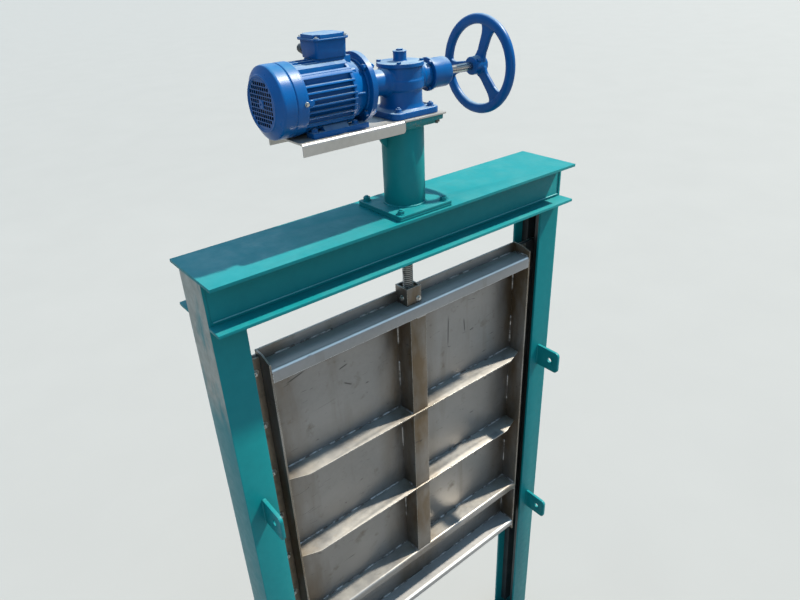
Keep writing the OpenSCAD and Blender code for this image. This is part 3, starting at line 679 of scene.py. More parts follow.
def build_finishes():
    build_groups()
    c = colours()
    teal, blue, stain = tuple(c.teal), tuple(c.blue), tuple(c.stain)
    teals = (teal, tone(teal, 0.78), tone(teal, 1.14))
    blues = (blue, tone(blue, 0.6), tone(blue, 1.35))
    paint("teal_paint", *teals, 0.38, 420.0, 0.68, 0.42, dusty=0.06, shine=0.14)
    paint("chipped_paint", *teals, 0.42, 300.0, 0.5, 0.3, dusty=0.35, shine=0.28, spotty=0.62)
    paint("post_paint", *teals, 0.38, 420.0, 0.68, 0.42, dusty=0.06, shine=0.14, washed=True)
    # A lighter teal with some dust, mostly a painted highlight along the web's seam
    paint("seam_highlight_paint", (0.06, 0.27, 0.29), teal, (0.14, 0.36, 0.38), 0.38, 420.0, 0.68, 0.42, dusty=0.2, shine=0.3)
    # The enamels' films paint a pale sheen over the dust on upward faces; the blue sheet's cyan film is mostly painted
    # sheen
    paint("blue_enamel", *blues, 0.27, 300.0, 0.72, 0.2, dusty=0.8, film=tuple(c.film), shine=0.18)
    paint("blue_sheet", *blues, 0.25, 520.0, 0.74, 0.34, dusty=0.24, film=(0.1, 0.33, 0.24), shine=0.24)
    sheet_metal("weathered_sheet", tone(c.sheet, 1.22), stain, (0.55, 0.54, 0.5), 0.34, 0.6, 0.62, metallic=0.74,
                dusty=0.55, leaf=True)
    # The channel's lighter base than the skin is a painted reflection of the sky, and its wide bright edges and its
    # bend are painted highlights
    sheet_metal("channel_sheet", (0.252, 0.243, 0.236), stain, (0.8, 0.8, 0.78), 0.38, 0.64, 0.68, metallic=0.36,
                edge_radius=0.003, bend=0.85)
    sheet_metal("strip_sheet", (0.27, 0.215, 0.16), stain, (0.5, 0.46, 0.4), 0.42, 0.5, 0.66)
    sheet_metal("bright_sheet", tuple(c.bright), (0.42, 0.36, 0.29), (0.42, 0.4, 0.37), 0.32, 0.7, 0.74, dusty=0.3)
    crest, depth = STEM_HIGH.x, sizes().thread_depth
    plain_metal("machined_steel", tuple(c.steel), (0.2, 0.17, 0.14), 0.26, 0.58)
    # The screw's thread roots are darkened: painted shade with grease
    plain_metal("oily_steel", (0.38, 0.365, 0.34), (0.16, 0.145, 0.12), 0.36, 0.55, metallic=0.6,
                grooves=(crest - depth * 0.15, crest - depth * 0.85))
    plain_metal("plated_bolt", (0.5, 0.48, 0.44), (0.16, 0.1, 0.06), 0.3, 0.6)
    plain_metal("dark_bolt", (0.1, 0.095, 0.09), (0.09, 0.05, 0.03), 0.4, 0.55, 0.0003)
    plain_metal("weld_metal", (0.36, 0.34, 0.32), (0.07, 0.055, 0.045), 0.36, 0.42, 0.0003, metallic=0.7)
    plain_metal("bronze", tuple(c.bronze), (0.1, 0.08, 0.05), 0.3, 0.6)
    dull_black("black_rubber", tuple(c.rubber), 0.35, 0.55, 0.0004)
    dull_black("black_plastic", (0.018, 0.018, 0.018), 0.15, 0.4, 0.0002)
    # Near black, painted shade inside the cowl behind the grille
    dull_black("fan_shade_black", (0.003, 0.003, 0.003), 0.02, 0.8, 0.0002)


# Operators


class GATE_OT_stage(bpy.types.Operator):
    """Pale floor, soft studio light and the camera"""

    bl_idname = "gate.stage"
    bl_label = "Stage"

    def execute(self, context):
        floor = shape("floor", bpy.ops.mesh.primitive_plane_add, size=160)
        tree, shader, place = new_finish("studio_floor")
        pale = tuple(colours().floor)
        cloud = patches(tree, place, 1.2, 3.0, 0.3, 0.7)
        tree.links.new(blend(tree, cloud, pale, tone(pale, 0.97)), shader.inputs["Base Color"])
        shader.inputs["Roughness"].default_value = 0.9
        floor.data.materials.append(FINISHES["studio_floor"])
        scene = bpy.context.scene
        scene.view_settings.view_transform = "Standard"
        scene.world = bpy.data.worlds.new("studio")
        scene.world.use_nodes = True
        sky = scene.world.node_tree
        upward = axes(sky, add(sky, "TexCoord").outputs["Object"])[2]
        glow = blend(sky, between(sky, upward, 0.0, 1.0), HORIZON, ZENITH)
        sky.links.new(glow, sky.nodes["Background"].inputs["Color"])
        sky.nodes["Background"].inputs["Strength"].default_value = 1.7
        bpy.ops.object.light_add(type="SUN", location=(3, -1, 6))
        key = bpy.context.object
        key.name = "light_key"
        key.data.energy, key.data.angle, key.data.color = 9.5, math.radians(2), (1.0, 0.94, 0.82)
        key.rotation_euler = Vector(SUN).to_track_quat("Z", "Y").to_euler()
        middle = Vector((0, 0, 1.9))
        for name, way, distance, size, tint in (("fill", (-0.9, -1.0, 0.35), 7.0, 4.5, (0.92, 0.96, 1.0)),
                                                ("rim", (0.2, 1.0, 0.6), 7.0, 4.0, (1.0, 0.98, 0.95))):
            bpy.ops.object.light_add(type="AREA", location=middle + Vector(way).normalized() * distance)
            lamp = bpy.context.object
            lamp.name = "light_" + name
            lamp.data.shape, lamp.data.size = "DISK", size
            lamp.data.energy, lamp.data.color = 40, tint
            lamp.rotation_euler = (middle - lamp.location).to_track_quat("-Z", "Y").to_euler()
        bpy.ops.object.camera_add()
        camera = scene.camera = bpy.context.object
        camera.name = "photo_camera"
        camera.matrix_world = Matrix.Translation(CAMERA_PLACE) @ Matrix(CAMERA_AXES).transposed().to_4x4()
        camera.data.sensor_width = 36.0
        camera.data.lens = 28.63
        camera.data.clip_end = 500.0
        return {"FINISHED"}


class GATE_OT_frame(bpy.types.Operator):
    """Softened edges and paint for the frame and the pedestal"""

    bl_idname = "gate.frame"
    bl_label = "Frame and pedestal"

    def execute(self, context):
        special = {"pedestal_head": "chipped_paint", "post_left": "post_paint", "post_right": "post_paint"}
        for node, slot in NODE_SLOT.items():
            if slot == "teal_paint":
                dressed = softened(node, sizes().plate_edge, special.get(node, "teal_paint"))
                if node in ("beam_front_web", "beam_rear_web"):
                    # The rolled foot of the web stands only a little above the ledge
                    edit(dressed, "VERT", lambda v: 2.112 < v.co.z < 2.116)
                    bpy.ops.transform.translate(value=(0, 0, -0.018))
                    close()
        # Weld seams under the paint: pedestal foot and head, beam web, lugs
        column_low, column_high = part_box("pedestal_column")
        radius = column_high.y - AXIS_Y
        seam = [(radius + 0.0036 * math.cos(a), 0.0036 * math.sin(a)) for a in (FULL_TURN * i / 10 for i in range(10))]
        rings = [stand(turned("foot_seam", seam, 96, ring=True), (0, AXIS_Y, height))
                 for height in (column_low.z + 0.0005, column_high.z - 0.0005)]
        rings = join(rings, "column_seams")
        for vertex in rings.data.vertices:
            vertex.co.z += 0.0005 * math.sin(60 * math.atan2(vertex.co.y - AXIS_Y, vertex.co.x))
        fit(rings, *TEAL, smooth=70)
        runs = []
        for node in ("wall_lugs_left", "wall_lugs_right"):
            low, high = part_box(node)
            runs += [((x, high.y - 0.001, level), UP, 0.07) for level in LUG_LEVELS for x in (low.x, high.x)]
        welds("lug_seams", runs, 0.0032, *TEAL)
        # The web foot seam is painted lighter, as a painted highlight line along the web
        low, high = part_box("beam_front_web")
        foot = Vector((0, low.y - 0.0004, 2.0955))
        welds("web_foot_seam", [(foot, EAST, high.x - low.x - 0.01)], 0.0018, "frame", "teal_paint", "seam_highlight_paint")
        return {"FINISHED"}


class GATE_OT_pedestal_bolts(bpy.types.Operator):
    """Bolts of the pedestal's foot and of its head"""

    bl_idname = "gate.pedestal_bolts"
    bl_label = "Pedestal bolts"

    def execute(self, context):
        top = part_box("pedestal_base")[1].z
        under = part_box("beam_top_plate")[0].z
        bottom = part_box("pedestal_head")[1].z - 0.012
        bolts("pedestal_bolts", square(0.072, 0.072, top), *TEAL, 0.0165, 0.0085, 0.012, 0.003)
        bolts("pedestal_nuts", square(0.072, 0.03, under, DOWN), *TEAL, 0.0165, 0.009, 0.012, 0.006)
        bolts("head_nuts", square(0.064, 0.0565, bottom, DOWN), "frame", "stainless_sheet", "dark_bolt", 0.015,
              0.0075, 0.0, 0.004)
        return {"FINISHED"}


class GATE_OT_tray(bpy.types.Operator):
    """Bent sheet tray under the motor"""

    bl_idname = "gate.tray"
    bl_label = "Motor tray"

    def execute(self, context):
        low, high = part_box("motor_tray")
        sheet, bend, lip_end = 0.004, 0.007, -0.05
        half, drop_to = (high.y - low.y) / 2, high.z - low.z
        outline = [(-half, -drop_to)] + arc(-half + bend, -bend, bend, 180, 90) + arc(half - bend, -bend, bend, 90, 0)
        outline += [(half, -drop_to), (half - sheet, -drop_to)]
        outline += arc(half - bend, -bend, bend - sheet, 0, 90) + arc(-half + bend, -bend, bend - sheet, 90, 180)
        outline += [(-half + sheet, -drop_to)]
        channel = prism("tray_channel", outline, lip_end - low.x)
        channel.matrix_world = (Matrix.Translation((low.x, AXIS_Y, high.z)) @ Matrix.Rotation(math.pi / 2, 4, "Z")
                                @ Matrix.Rotation(math.pi / 2, 4, "X"))
        settle(channel)
        edit(channel, "EDGE",
             lambda e: all(abs(v.co.x - lip_end) < 1e-5 and v.co.z < low.z + 1e-5 for v in e.verts))
        bpy.ops.mesh.bevel(offset=0.007, segments=4)
        close()
        plate = block("tray_plate", (lip_end - 0.001, low.y, high.z - sheet), (high.x, high.y, high.z), 0.0005)
        tray = join([channel, plate], "motor_tray_sheet")
        fit(tray, "frame", "stainless_sheet", "bright_sheet", ["motor_tray"], smooth=35)
        return {"FINISHED"}


class GATE_OT_gearbox(bpy.types.Operator):
    """Gearbox casting with its cover, cap, coupling flange and hand drive"""

    bl_idname = "gate.gearbox"
    bl_label = "Gearbox"

    def execute(self, context):
        low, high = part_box("gearbox_housing")
        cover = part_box("gearbox_cover")[0].z
        flange_low, flange_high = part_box("coupling_flange")
        drive_low, drive_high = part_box("hand_drive")
        centre = (0, AXIS_Y, low.z)
        foot = stand(prism("foot", round_corners(0.142, 0.13, 0.018), 0.016, 0.0025), centre)
        seat = stand(turned("seat", [
            (0, 0.004), (0.059, 0.004), (0.059, 0.016), (0.055, 0.019), (0.052, 0.027), (0.0515, 0.036),
            (0.0515, 0.056), (0.053, 0.0595), (0.0555, 0.061), (0.056, 0.064), (0.056, 0.0806), (0.0553, 0.0826),
            (0.0535, 0.0834), (0.0535, 0.112), (0, 0.112)], 96), centre)
        reach = drive_low.x - flange_high.x
        neck = on_axis("neck", [
            (0, 0), (0.05, 0), (0.047, 0.003), (0.037, 0.009), (0.0315, 0.017), (0.0298, 0.026), (0.0298, 0.066),
            (0.034, 0.074), (0.034, reach - 0.028), (0.03, reach - 0.02), (0.03, reach), (0, reach)], flange_high.x)
        housing = cast([foot, seat, neck], "gearbox_casting", 0.0016, 3)
        fit(housing, *ENAMEL, ["gearbox_housing"], smooth=180)

        thick = 0.009
        lid = stand(turned("cover", [
            (0, 0), (0.0568, 0), (0.0572, 0.0006), (0.0572, thick - 0.0016), (0.0567, thick - 0.0005),
            (0.0557, thick), (0.02, thick), (0.0182, thick + 0.0006), (0.0168, thick + 0.0022),
            (0.016, thick + 0.005), (0.016, thick + 0.0208), (0.0168, thick + 0.0215), (0.0168, thick + 0.023),
            (0.0155, thick + 0.024), (0, thick + 0.024)], 96), (0, AXIS_Y, cover))
        fit(lid, *ENAMEL, ["gearbox_cover"])
        cap = stand(fastener("gearbox_plug", 0.015, 0.004), (0, AXIS_Y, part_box("gearbox_cap")[0].z), UP, 0.2)
        fit(cap, *ENAMEL, ["gearbox_cap"])
        middle = Vector((0, AXIS_Y, cover + thick))
        ring = [(middle + Vector((0.051 * math.cos(a), 0.051 * math.sin(a), 0)), UP)
                for a in map(math.radians, (48, 138, 228, 318))]
        bolts("cover_bolts", ring, *ENAMEL, 0.01, 0.005)
        bolts("gearbox_foot_bolts", square(0.05, 0.05, low.z + 0.016), *ENAMEL, 0.013, 0.0065, 0.0095, 0.003)

        step = flange_high.x - flange_low.x
        flange = on_axis("flange", [
            (0, 0), (0.063, 0), (0.0645, 0.0012), (0.065, 0.003), (0.0775, 0.003), (0.0785, 0.0038),
            (0.0785, step - 0.001), (0.0775, step), (0, step)], flange_low.x, 128)
        fit(flange, *ENAMEL, ["coupling_flange"])
        bolts("flange_bolts", ring_of(flange_low.x + 0.003, 0.0708, DIAGONALS, WEST), *ENAMEL, 0.0115, 0.0065)
        bolts("flange_nuts", ring_of(flange_high.x, 0.0695, DIAGONALS, EAST), *ENAMEL, 0.013, 0.007, 0.0, 0.004)

        reach = drive_high.x - drive_low.x
        drive = on_axis("drive", [
            (0, 0), (0.0385, 0), (0.04, 0.0012), (0.04, 0.007), (0.0388, 0.008), (0.0362, 0.0084), (0.036, 0.01),
            (0.036, reach - 0.005), (0.0345, reach - 0.0018), (0.031, reach), (0.0165, reach),
            (0.015, reach - 0.003), (0.0112, reach - 0.003), (0.0108, reach - 0.02), (0, reach - 0.02)], drive_low.x)
        fit(drive, *ENAMEL, ["hand_drive"])
        bolts("drive_bolts", ring_of(drive_low.x, 0.0355, (297, 57, 177), WEST), *ENAMEL, 0.009, 0.0055)
        return {"FINISHED"}


def grille(face):
    """Square holes pressed in the cowl's end, inside a rolled border."""
    pitch, hole, count, rim = 0.0092, 0.0074, 12, 0.056
    middles = [(i - (count - 1) / 2) * pitch for i in range(count)]
    lines = [-rim] + [middle + side * hole / 2 for middle in middles for side in (-1, 1)] + [rim]
    cells = len(lines) - 1
    plate = shape("plate", bpy.ops.mesh.primitive_grid_add, x_subdivisions=cells, y_subdivisions=cells, size=1)
    for index, vertex in enumerate(plate.data.vertices):
        vertex.co = (lines[index % (cells + 1)], lines[index // (cells + 1)], 0)

    def opened(f):
        middle = f.calc_center_median()
        away = math.hypot(middle.x, middle.y)
        is_hole = hole * hole * 0.98 < f.calc_area() < hole * hole * 1.02
        return away > 0.0555 or (is_hole and 0.0115 < away < 0.049)

    edit(plate, "FACE", opened)
    bpy.ops.mesh.delete(type="FACE")
    close()
    modify(plate, "SOLIDIFY", thickness=0.0005, offset=0)
    stand(plate, (face + 0.0018, AXIS_Y, AXIS_Z), WEST)
    border = on_axis("border", [(0.0515, 0.0022), (0.052, 0.0006), (0.053, 0.0), (0.0548, 0.0006), (0.0562, 0.001),
                                (0.0562, 0.003), (0.052, 0.003)], face, ring=True)
    button = on_axis("button", [(0.0028, 0.0), (0.0085, 0.0), (0.0095, 0.001), (0.0095, 0.0026), (0.0028, 0.0026)],
                     face, 40, ring=True)
    fit(join([plate, border, button], "cowl_grille"), "frame", "blue_enamel", "blue_sheet", smooth=30)


class GATE_OT_motor(bpy.types.Operator):
    """Finned motor with its end shield, feet, fan cowl and grille"""

    bl_idname = "gate.motor"
    bl_label = "Motor"

    def execute(self, context):
        for node in ("motor_body", "motor_feet"):
            softened(node, 0.0007, "blue_enamel")
        # Lugs for the tie bolts of the end shield, and its ribs
        flange_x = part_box("coupling_flange")[0].x
        shield_x = flange_x - 0.036
        lugs = [stand(turned("lug", [(0, 0), (0.0058, 0), (0.007, 0.0012), (0.007, 0.02), (0.0056, 0.0216),
                                     (0, 0.0216)], 24), spot, EAST)
                for spot in around(shield_x - 0.006, 0.063, DIAGONALS)]
        for side in (-1, 1):
            y = AXIS_Y + side * 0.0655
            lugs.append(block("rib", (shield_x - 0.004, y - 0.007, AXIS_Z - 0.0015),
                              (flange_x - 0.014, y + 0.007, AXIS_Z + 0.0015), 0.0006))
        fit(join(lugs, "shield_lugs"), *ENAMEL)
        # Fan cowl, turned from sheet, with a bead pressed round it
        low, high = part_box("fan_cowl")
        reach, radius, wall = high.x - low.x, (high.z - low.z) / 2, 0.0022
        cowl = [(0.0555, 0.0003), (0.0575, 0.0), (0.059, 0.001), (0.0602, 0.0024), (0.0754, 0.0118),
                (0.0764, 0.0128), (0.077, 0.0142), (radius, 0.017), (radius, 0.0405), (radius - 0.0004, 0.0416),
                (radius - 0.0016, 0.0426), (radius - 0.0019, 0.0434), (radius - 0.0016, 0.0442),
                (radius - 0.0004, 0.0452), (radius, 0.0463), (radius, reach - 0.0012), (radius - 0.0006, reach),
                (radius - wall, reach), (radius - wall, 0.018), (0.0742, 0.0148), (0.0588, 0.005), (0.0555, 0.0028)]
        cowl = on_axis("cowl", cowl, low.x, 128, ring=True)
        fit(cowl, "frame", "blue_enamel", "blue_sheet", ["fan_cowl"], smooth=9)
        grille(low.x)
        # Fan behind the grille: a hub with a back plate, and blades. The back plate and the near-black finish put
        # painted shade behind the grille's holes.
        fan = [on_axis("hub", [(0, 0), (0.022, 0), (0.026, 0.004), (0.027, 0.014), (0.0744, 0.018), (0.0748, 0.02),
                               (0.027, 0.02), (0, 0.02)], low.x + 0.012, 40)]
        for i in range(9):
            blade = block("blade", (0.022, -0.0011, 0.016), (0.064, 0.0011, 0.046), 0.0004)
            fan.append(stand(blade, (low.x, AXIS_Y, AXIS_Z), EAST, FULL_TURN * i / 9))
        fit(join(fan, "motor_fan"), "frame", "black_plastic", "fan_shade_black")
        # Screws that hold the cowl, each with its lug on the body
        rim = around(high.x - 0.005, radius, (0, 180, 270))
        ways = [(p - Vector((p.x, AXIS_Y, AXIS_Z))).normalized() for p in rim]
        bolts("cowl_screws", list(zip(rim, ways)), "frame", "stainless_sheet", "plated_bolt", 0.007, 0.003, 0.0052)
        ears = [stand(turned("ear", [(0, 0), (0.007, 0), (0.007, 0.0085), (0.006, 0.0095), (0, 0.0095)], 20),
                      (high.x + 0.008, p.y + (AXIS_Y - p.y) * 0.13, p.z + (AXIS_Z - p.z) * 0.13), way)
                for p, way in zip(rim, ways)]
        fit(join(ears, "cowl_ears"), *ENAMEL)
        low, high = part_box("motor_feet")
        spots = [((x, AXIS_Y + side * 0.045, low.z + 0.012), UP)
                 for x in (low.x + 0.01, high.x - 0.03) for side in (-1, 1)]
        bolts("motor_foot_bolts", spots, *ENAMEL, 0.013, 0.0055, 0.0095, 0.002)
        return {"FINISHED"}


class GATE_OT_terminal(bpy.types.Operator):
    """Terminal box with its lid, screws and cable gland"""

    bl_idname = "gate.terminal"
    bl_label = "Terminal box"

    def execute(self, context):
        low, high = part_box("terminal_box")
        middle = (low.x + high.x) / 2
        tall = high.z - low.z + 0.004
        lid = low.z + tall
        body = prism("body", round_corners(0.08, 0.07, 0.009), tall)
        edit(body, "VERT", lambda v: v.co.z < 0.001)
        bpy.ops.transform.resize(value=(0.95, 0.945, 1), center_override=(0, 0, 0))
        close()
        modify(body, "BEVEL", width=0.0012, segments=2, limit_method="ANGLE", angle_limit=math.radians(50))
        stand(body, (middle, AXIS_Y, low.z))
        fit(body, *ENAMEL, ["terminal_box"])
        rim = stand(prism("rim", round_corners(0.088, 0.078, 0.01), 0.0036, 0.001, True), (middle, AXIS_Y, lid))
        # Raised panel, cut back round each corner screw
        outline = []
        for sx, sy, start in ((1, 1, 270), (-1, 1, 360), (-1, -1, 90), (1, -1, 180)):
            outline += arc(sx * 0.0405, sy * 0.0355, 0.012, start, start - 90)
        panel = stand(prism("panel", outline, 0.009, 0.0016, segments=3), (middle, AXIS_Y, lid + 0.003))
        corners = [(sx * 0.0365, sy * 0.0315) for sx, sy in CORNERS]
        ears = [stand(turned("ear", [(0, 0.001), (0.0065, 0.001), (0.0065, 0.005), (0.0058, 0.0056), (0, 0.0056)],
                             24), (middle + x, AXIS_Y + y, lid)) for x, y in corners]
        fit(join([rim, panel] + ears, "terminal_cover"), *ENAMEL, ["terminal_lid"])
        spots = [((middle + x, AXIS_Y + y, lid + 0.0056), UP) for x, y in corners]
        bolts("terminal_screws", spots, "frame", "stainless_sheet", "plated_bolt", 0.0062, 0.0028)
        # Flared foot of the box's neck
        neck = block("neck", (middle - 0.037, AXIS_Y - 0.0275, low.z - 0.04),
                     (middle + 0.037, AXIS_Y + 0.0275, low.z + 0.001))
        edit(neck, "VERT", lambda v: v.co.z < low.z - 0.03)
        bpy.ops.transform.resize(value=(1.03, 1.28, 1), center_override=(middle, AXIS_Y, low.z))
        close()
        modify(neck, "BEVEL", width=0.005, segments=3, limit_method="ANGLE", angle_limit=math.radians(50))
        fit(neck, *ENAMEL)
        # Gland: a domed cap on a hexagon body, with an open bore
        low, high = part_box("cable_gland")
        cap = turned("cap", [
            (0.0055, 0.003), (0.0115, 0.003), (0.0115, 0.012), (0.0108, 0.0125), (0.0108, 0.015), (0.01, 0.019),
            (0.0085, 0.0222), (0.0068, 0.024), (0.0055, 0.024)], 40, ring=True)
        nut = turned("nut", [(0.0055, 0.0), (0.0128, 0.0), (0.013, 0.001), (0.013, 0.006), (0.0122, 0.0068),
                             (0.0055, 0.0068)], 6, ring=True)
        gland = join([cap, nut], "cable_gland_body")
        stand(gland, ((low.x + high.x) / 2, low.y, (low.z + high.z) / 2), (0, 1, 0))
        fit(gland, "frame", "black_plastic", "black_plastic", ["cable_gland"])
        return {"FINISHED"}


class GATE_OT_wheel(bpy.types.Operator):
    """Cast handwheel with three spokes, on a bare shaft"""

    bl_idname = "gate.wheel"
    bl_label = "Handwheel"

    def execute(self, context):
        radius = (WHEEL_HIGH.z - WHEEL_LOW.z) / 2
        hub_low = WHEEL_LOW.x

        def eased(value):
            return math.copysign(abs(value) ** 0.8, value)

        rim = [(radius - 0.013 + 0.013 * eased(math.cos(a)), 0.01 * eased(math.sin(a)))
               for a in (FULL_TURN * i / 20 for i in range(20))]
        parts = [turned("rim", rim, 96, ring=True)]
        side = [(0.008, 0.017), (0.02, 0.0175), (0.027, 0.015), (0.036, 0.0135), (radius - 0.048, 0.015),
                (radius - 0.036, 0.018), (radius - 0.026, 0.024), (radius - 0.019, 0.034), (radius - 0.013, 0.035)]
        for i in range(3):
            spoke = prism("spoke", [(x, -y) for x, y in side] + side[::-1], 0.012)
            spoke.location = (0, 0, -0.006)
            settle(spoke)
            modify(spoke, "BEVEL", width=0.0035, segments=3, limit_method="ANGLE", angle_limit=math.radians(50))
            spoke.rotation_euler = (0, 0, math.radians(110 + 120 * i))
            parts.append(settle(spoke))
        parts.append(turned("hub", [
            (0, -0.029), (0.0215, -0.029), (0.023, -0.0275), (0.0235, 0.0), (0.023, 0.0125), (0.0215, 0.014),
            (0.0145, 0.0145), (0.0138, 0.019), (0.0128, 0.02), (0, 0.02)], 64))
        wheel = cast(parts, "handwheel_casting", 0.0017, 4)
        stand(wheel, (hub_low + 0.029, AXIS_Y, AXIS_Z), EAST)
        fit(wheel, "wheel", "blue_enamel", "blue_enamel", ["handwheel"], smooth=180)
        boss = Vector((hub_low + 0.01, AXIS_Y, AXIS_Z))
        way = Vector((0, -0.77, 0.63))
        bolts("hub_screw", [(boss + way.normalized() * 0.0222, way)], "wheel", "blue_enamel", "blue_enamel", 0.01,
              0.0055)
        low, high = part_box("handwheel_shaft")
        reach = high.x - low.x
        shaft = on_axis("shaft", [(0, 0), (0.01, 0), (0.01, 0.04), (0.0103, 0.0405), (0.0103, 0.0425), (0.01, 0.043),
                                  (0.01, reach), (0, reach)], low.x, 64)
        fit(shaft, "wheel", "machined_steel", "machined_steel", ["handwheel_shaft"])
        return {"FINISHED"}


class GATE_OT_screw(bpy.types.Operator):
    """Lifting screw with its thread"""

    bl_idname = "gate.screw"
    bl_label = "Lifting screw"

    def execute(self, context):
        pitch, crest = sizes().thread_pitch, STEM_HIGH.x
        root = crest - sizes().thread_depth
        turns = math.ceil((STEM_HIGH.z - STEM_LOW.z) / pitch) + 4
        thread = shape("lifting_screw", bpy.ops.mesh.primitive_circle_add, vertices=5, fill_type="NOTHING")
        steps = ((root, 0.0), (root, 0.16), (crest, 0.36), (crest, 0.72), (root, 1.0))
        for vertex, (radius, part) in zip(thread.data.vertices, steps):
            vertex.co = (radius, 0, part * pitch)
        edit(thread, "EDGE", lambda e: {v.index for v in e.verts} == {0, 4})
        bpy.ops.mesh.delete(type="EDGE")
        close()
        modify(thread, "SCREW", angle=FULL_TURN, screw_offset=pitch, iterations=turns, steps=24, render_steps=24,
               use_merge_vertices=True, merge_threshold=1e-6, use_smooth_shade=False)
        stand(thread, (0, AXIS_Y, STEM_LOW.z - 2 * pitch))
        for end, keep_up in ((STEM_LOW.z, True), (STEM_HIGH.z, False)):
            edit(thread, "FACE", everything)
            bpy.ops.mesh.bisect(plane_co=(0, 0, end), plane_no=(0, 0, 1), use_fill=True, clear_inner=keep_up,
                                clear_outer=not keep_up)
            close()
        edit(thread, "FACE", everything)
        bpy.ops.mesh.remove_doubles(threshold=1e-6)
        bpy.ops.mesh.normals_make_consistent(inside=False)
        close()
        fit(thread, "screw", "machined_steel", "oily_steel", ["stem"], smooth=35)
        return {"FINISHED"}


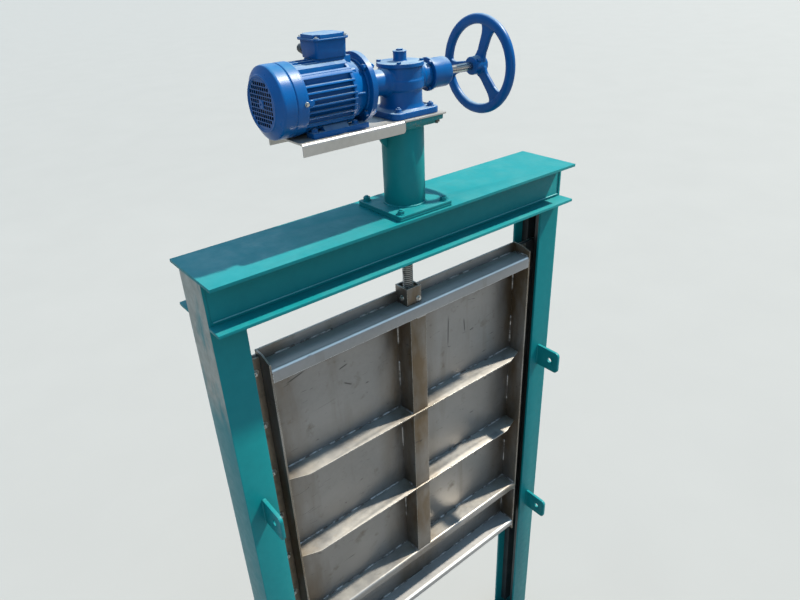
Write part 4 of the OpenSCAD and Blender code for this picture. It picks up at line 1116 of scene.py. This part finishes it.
class GATE_OT_leaf(bpy.types.Operator):
    """Weathered sheet leaf with its stitch welds and clamp bolts"""

    bl_idname = "gate.leaf"
    bl_label = "Leaf"

    def execute(self, context):
        for node, body in NODE_BODY.items():
            if body == "leaf" and NODE_SLOT[node] == "stainless_sheet":
                if node in ("leaf_top_channel", "leaf_bottom_channel"):
                    softened(node, 0.0026, "channel_sheet", 3)
                else:
                    finish = "strip_sheet" if node == "clamp_strips" else "weathered_sheet"
                    softened(node, sizes().plate_edge * 0.8, finish)
        radius = sizes().weld_radius
        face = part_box("leaf_skin")[0].y - 0.0005
        box_low, box_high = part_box("leaf_box_stiffener")
        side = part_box("leaf_side_right")[0].x
        ribs = ("leaf_rib_upper", "leaf_rib_middle", "leaf_rib_lower")
        # Stitches along the channels and the ribs, then up the sides and the box stiffener
        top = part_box("leaf_top_channel")[1].z + 0.0005
        runs = [((x, face, top), EAST, 0.1 if x > -0.39 else 0.06) for x in (-0.395, -0.3, -0.108, 0.216, 0.399)]
        for node, shift in zip(ribs + ("leaf_bottom_channel",), (0.0, -0.018, 0.011, 0.006)):
            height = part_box(node)[1].z + 0.0005
            runs += [((x + shift, face, height), EAST, sizes().stitch)
                     for x in (-0.385, -0.244, -0.098, 0.092, 0.25, 0.402)]
        for bay in (1.64, 1.385, 1.08, 0.82):
            runs += [((x, face, bay - 0.025), UP, 0.105) for x in (-side, side)]
            if bay > 0.9:
                runs += [((x, face, bay + 0.02), UP, 0.09) for x in (box_low.x, box_high.x)]
        runs += [((x, face, 1.8), UP, 0.062) for x in (-side, side, box_low.x)]
        welds("leaf_stitches", runs, radius, "leaf", "stainless_sheet", "weld_metal")
        # Lumpy joints of the box stiffener, the channels' ends and the rib corners
        lumps = [((0.012, box_low.y + 0.001, box_high.z - 0.001), EAST, 0.034)]
        for node in ribs:
            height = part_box(node)[1].z + 0.0005
            lumps += [((x, -0.03, height), (0, 1, 0), 0.034) for x in (box_low.x, box_high.x)]
        for x in (-side, side):
            for node in ("leaf_top_channel", "leaf_rib_lower", "leaf_bottom_channel"):
                low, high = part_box(node)
                lumps.append(((x, low.y + 0.0035, high.z - 0.02), UP, 0.026))
                lumps.append(((x, -0.022, high.z + 0.0005), (0, 1, 0), 0.05))
        welds("leaf_corner_welds", lumps, radius * 1.25, "leaf", "stainless_sheet", "weld_metal")
        low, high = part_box("clamp_strips")
        pitch = sizes().strip_bolt_pitch
        spots = [((way * (high.x - 0.017), low.y, high.z - 0.04 - i * pitch), SOUTH)
                 for i in range(int((high.z - low.z - 0.05) / pitch) + 1) for way in (-1, 1)]
        bolts("clamp_bolts", spots, "leaf", "stainless_sheet", "plated_bolt", 0.013, 0.006, 0.0105, 0.002)
        # Bolts through the nut's box
        low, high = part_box("nut_box")
        spots = [((low.x, AXIS_Y - 0.003, high.z - 0.034), WEST), ((high.x, AXIS_Y - 0.003, high.z - 0.034), EAST),
                 ((high.x - 0.011, low.y, high.z - 0.04), SOUTH)]
        bolts("nut_box_bolts", spots, "leaf", "stainless_sheet", "plated_bolt", 0.01, 0.005, 0.009)
        return {"FINISHED"}


class GATE_OT_finishes(bpy.types.Operator):
    """Finishes for the CAD nodes that stay"""

    bl_idname = "gate.finishes"
    bl_label = "Finishes"

    def execute(self, context):
        for node, slot in NODE_SLOT.items():
            materials = frame["nodes"][node].data.materials
            materials.clear()
            materials.append(FINISHES["weathered_sheet" if slot == "stainless_sheet" else slot])
        return {"FINISHED"}


class GATE_PT_panel(bpy.types.Panel):
    """The sluice gate's sizes, colours and steps"""

    bl_idname = "GATE_PT_panel"
    bl_label = "Sluice gate"
    bl_space_type = "VIEW_3D"
    bl_region_type = "UI"
    bl_category = "Sluice gate"

    def draw(self, context):
        for group in (context.scene.gate_sizes, context.scene.gate_colours):
            for key in group.__annotations__:
                self.layout.prop(group, key)
        for step in STEPS:
            self.layout.operator(step.bl_idname)


STEPS = (GATE_OT_frame, GATE_OT_pedestal_bolts, GATE_OT_tray, GATE_OT_gearbox, GATE_OT_motor, GATE_OT_terminal,
         GATE_OT_wheel, GATE_OT_screw, GATE_OT_leaf, GATE_OT_finishes, GATE_OT_stage)
CLASSES = (GateColours, GateSizes, *STEPS, GATE_PT_panel)


def register():
    for kind in CLASSES:
        bpy.utils.register_class(kind)
    bpy.types.Scene.gate_colours = PointerProperty(type=GateColours)
    bpy.types.Scene.gate_sizes = PointerProperty(type=GateSizes)


def unregister():
    del bpy.types.Scene.gate_colours, bpy.types.Scene.gate_sizes
    for kind in reversed(CLASSES):
        bpy.utils.unregister_class(kind)


def main():
    register()
    random.seed(7)
    build_finishes()
    bpy.ops.gate.frame()
    bpy.ops.gate.pedestal_bolts()
    bpy.ops.gate.tray()
    bpy.ops.gate.gearbox()
    bpy.ops.gate.motor()
    bpy.ops.gate.terminal()
    bpy.ops.gate.wheel()
    bpy.ops.gate.screw()
    bpy.ops.gate.leaf()
    bpy.ops.gate.finishes()
    bpy.ops.gate.stage()


if __name__ == "__main__":
    main()
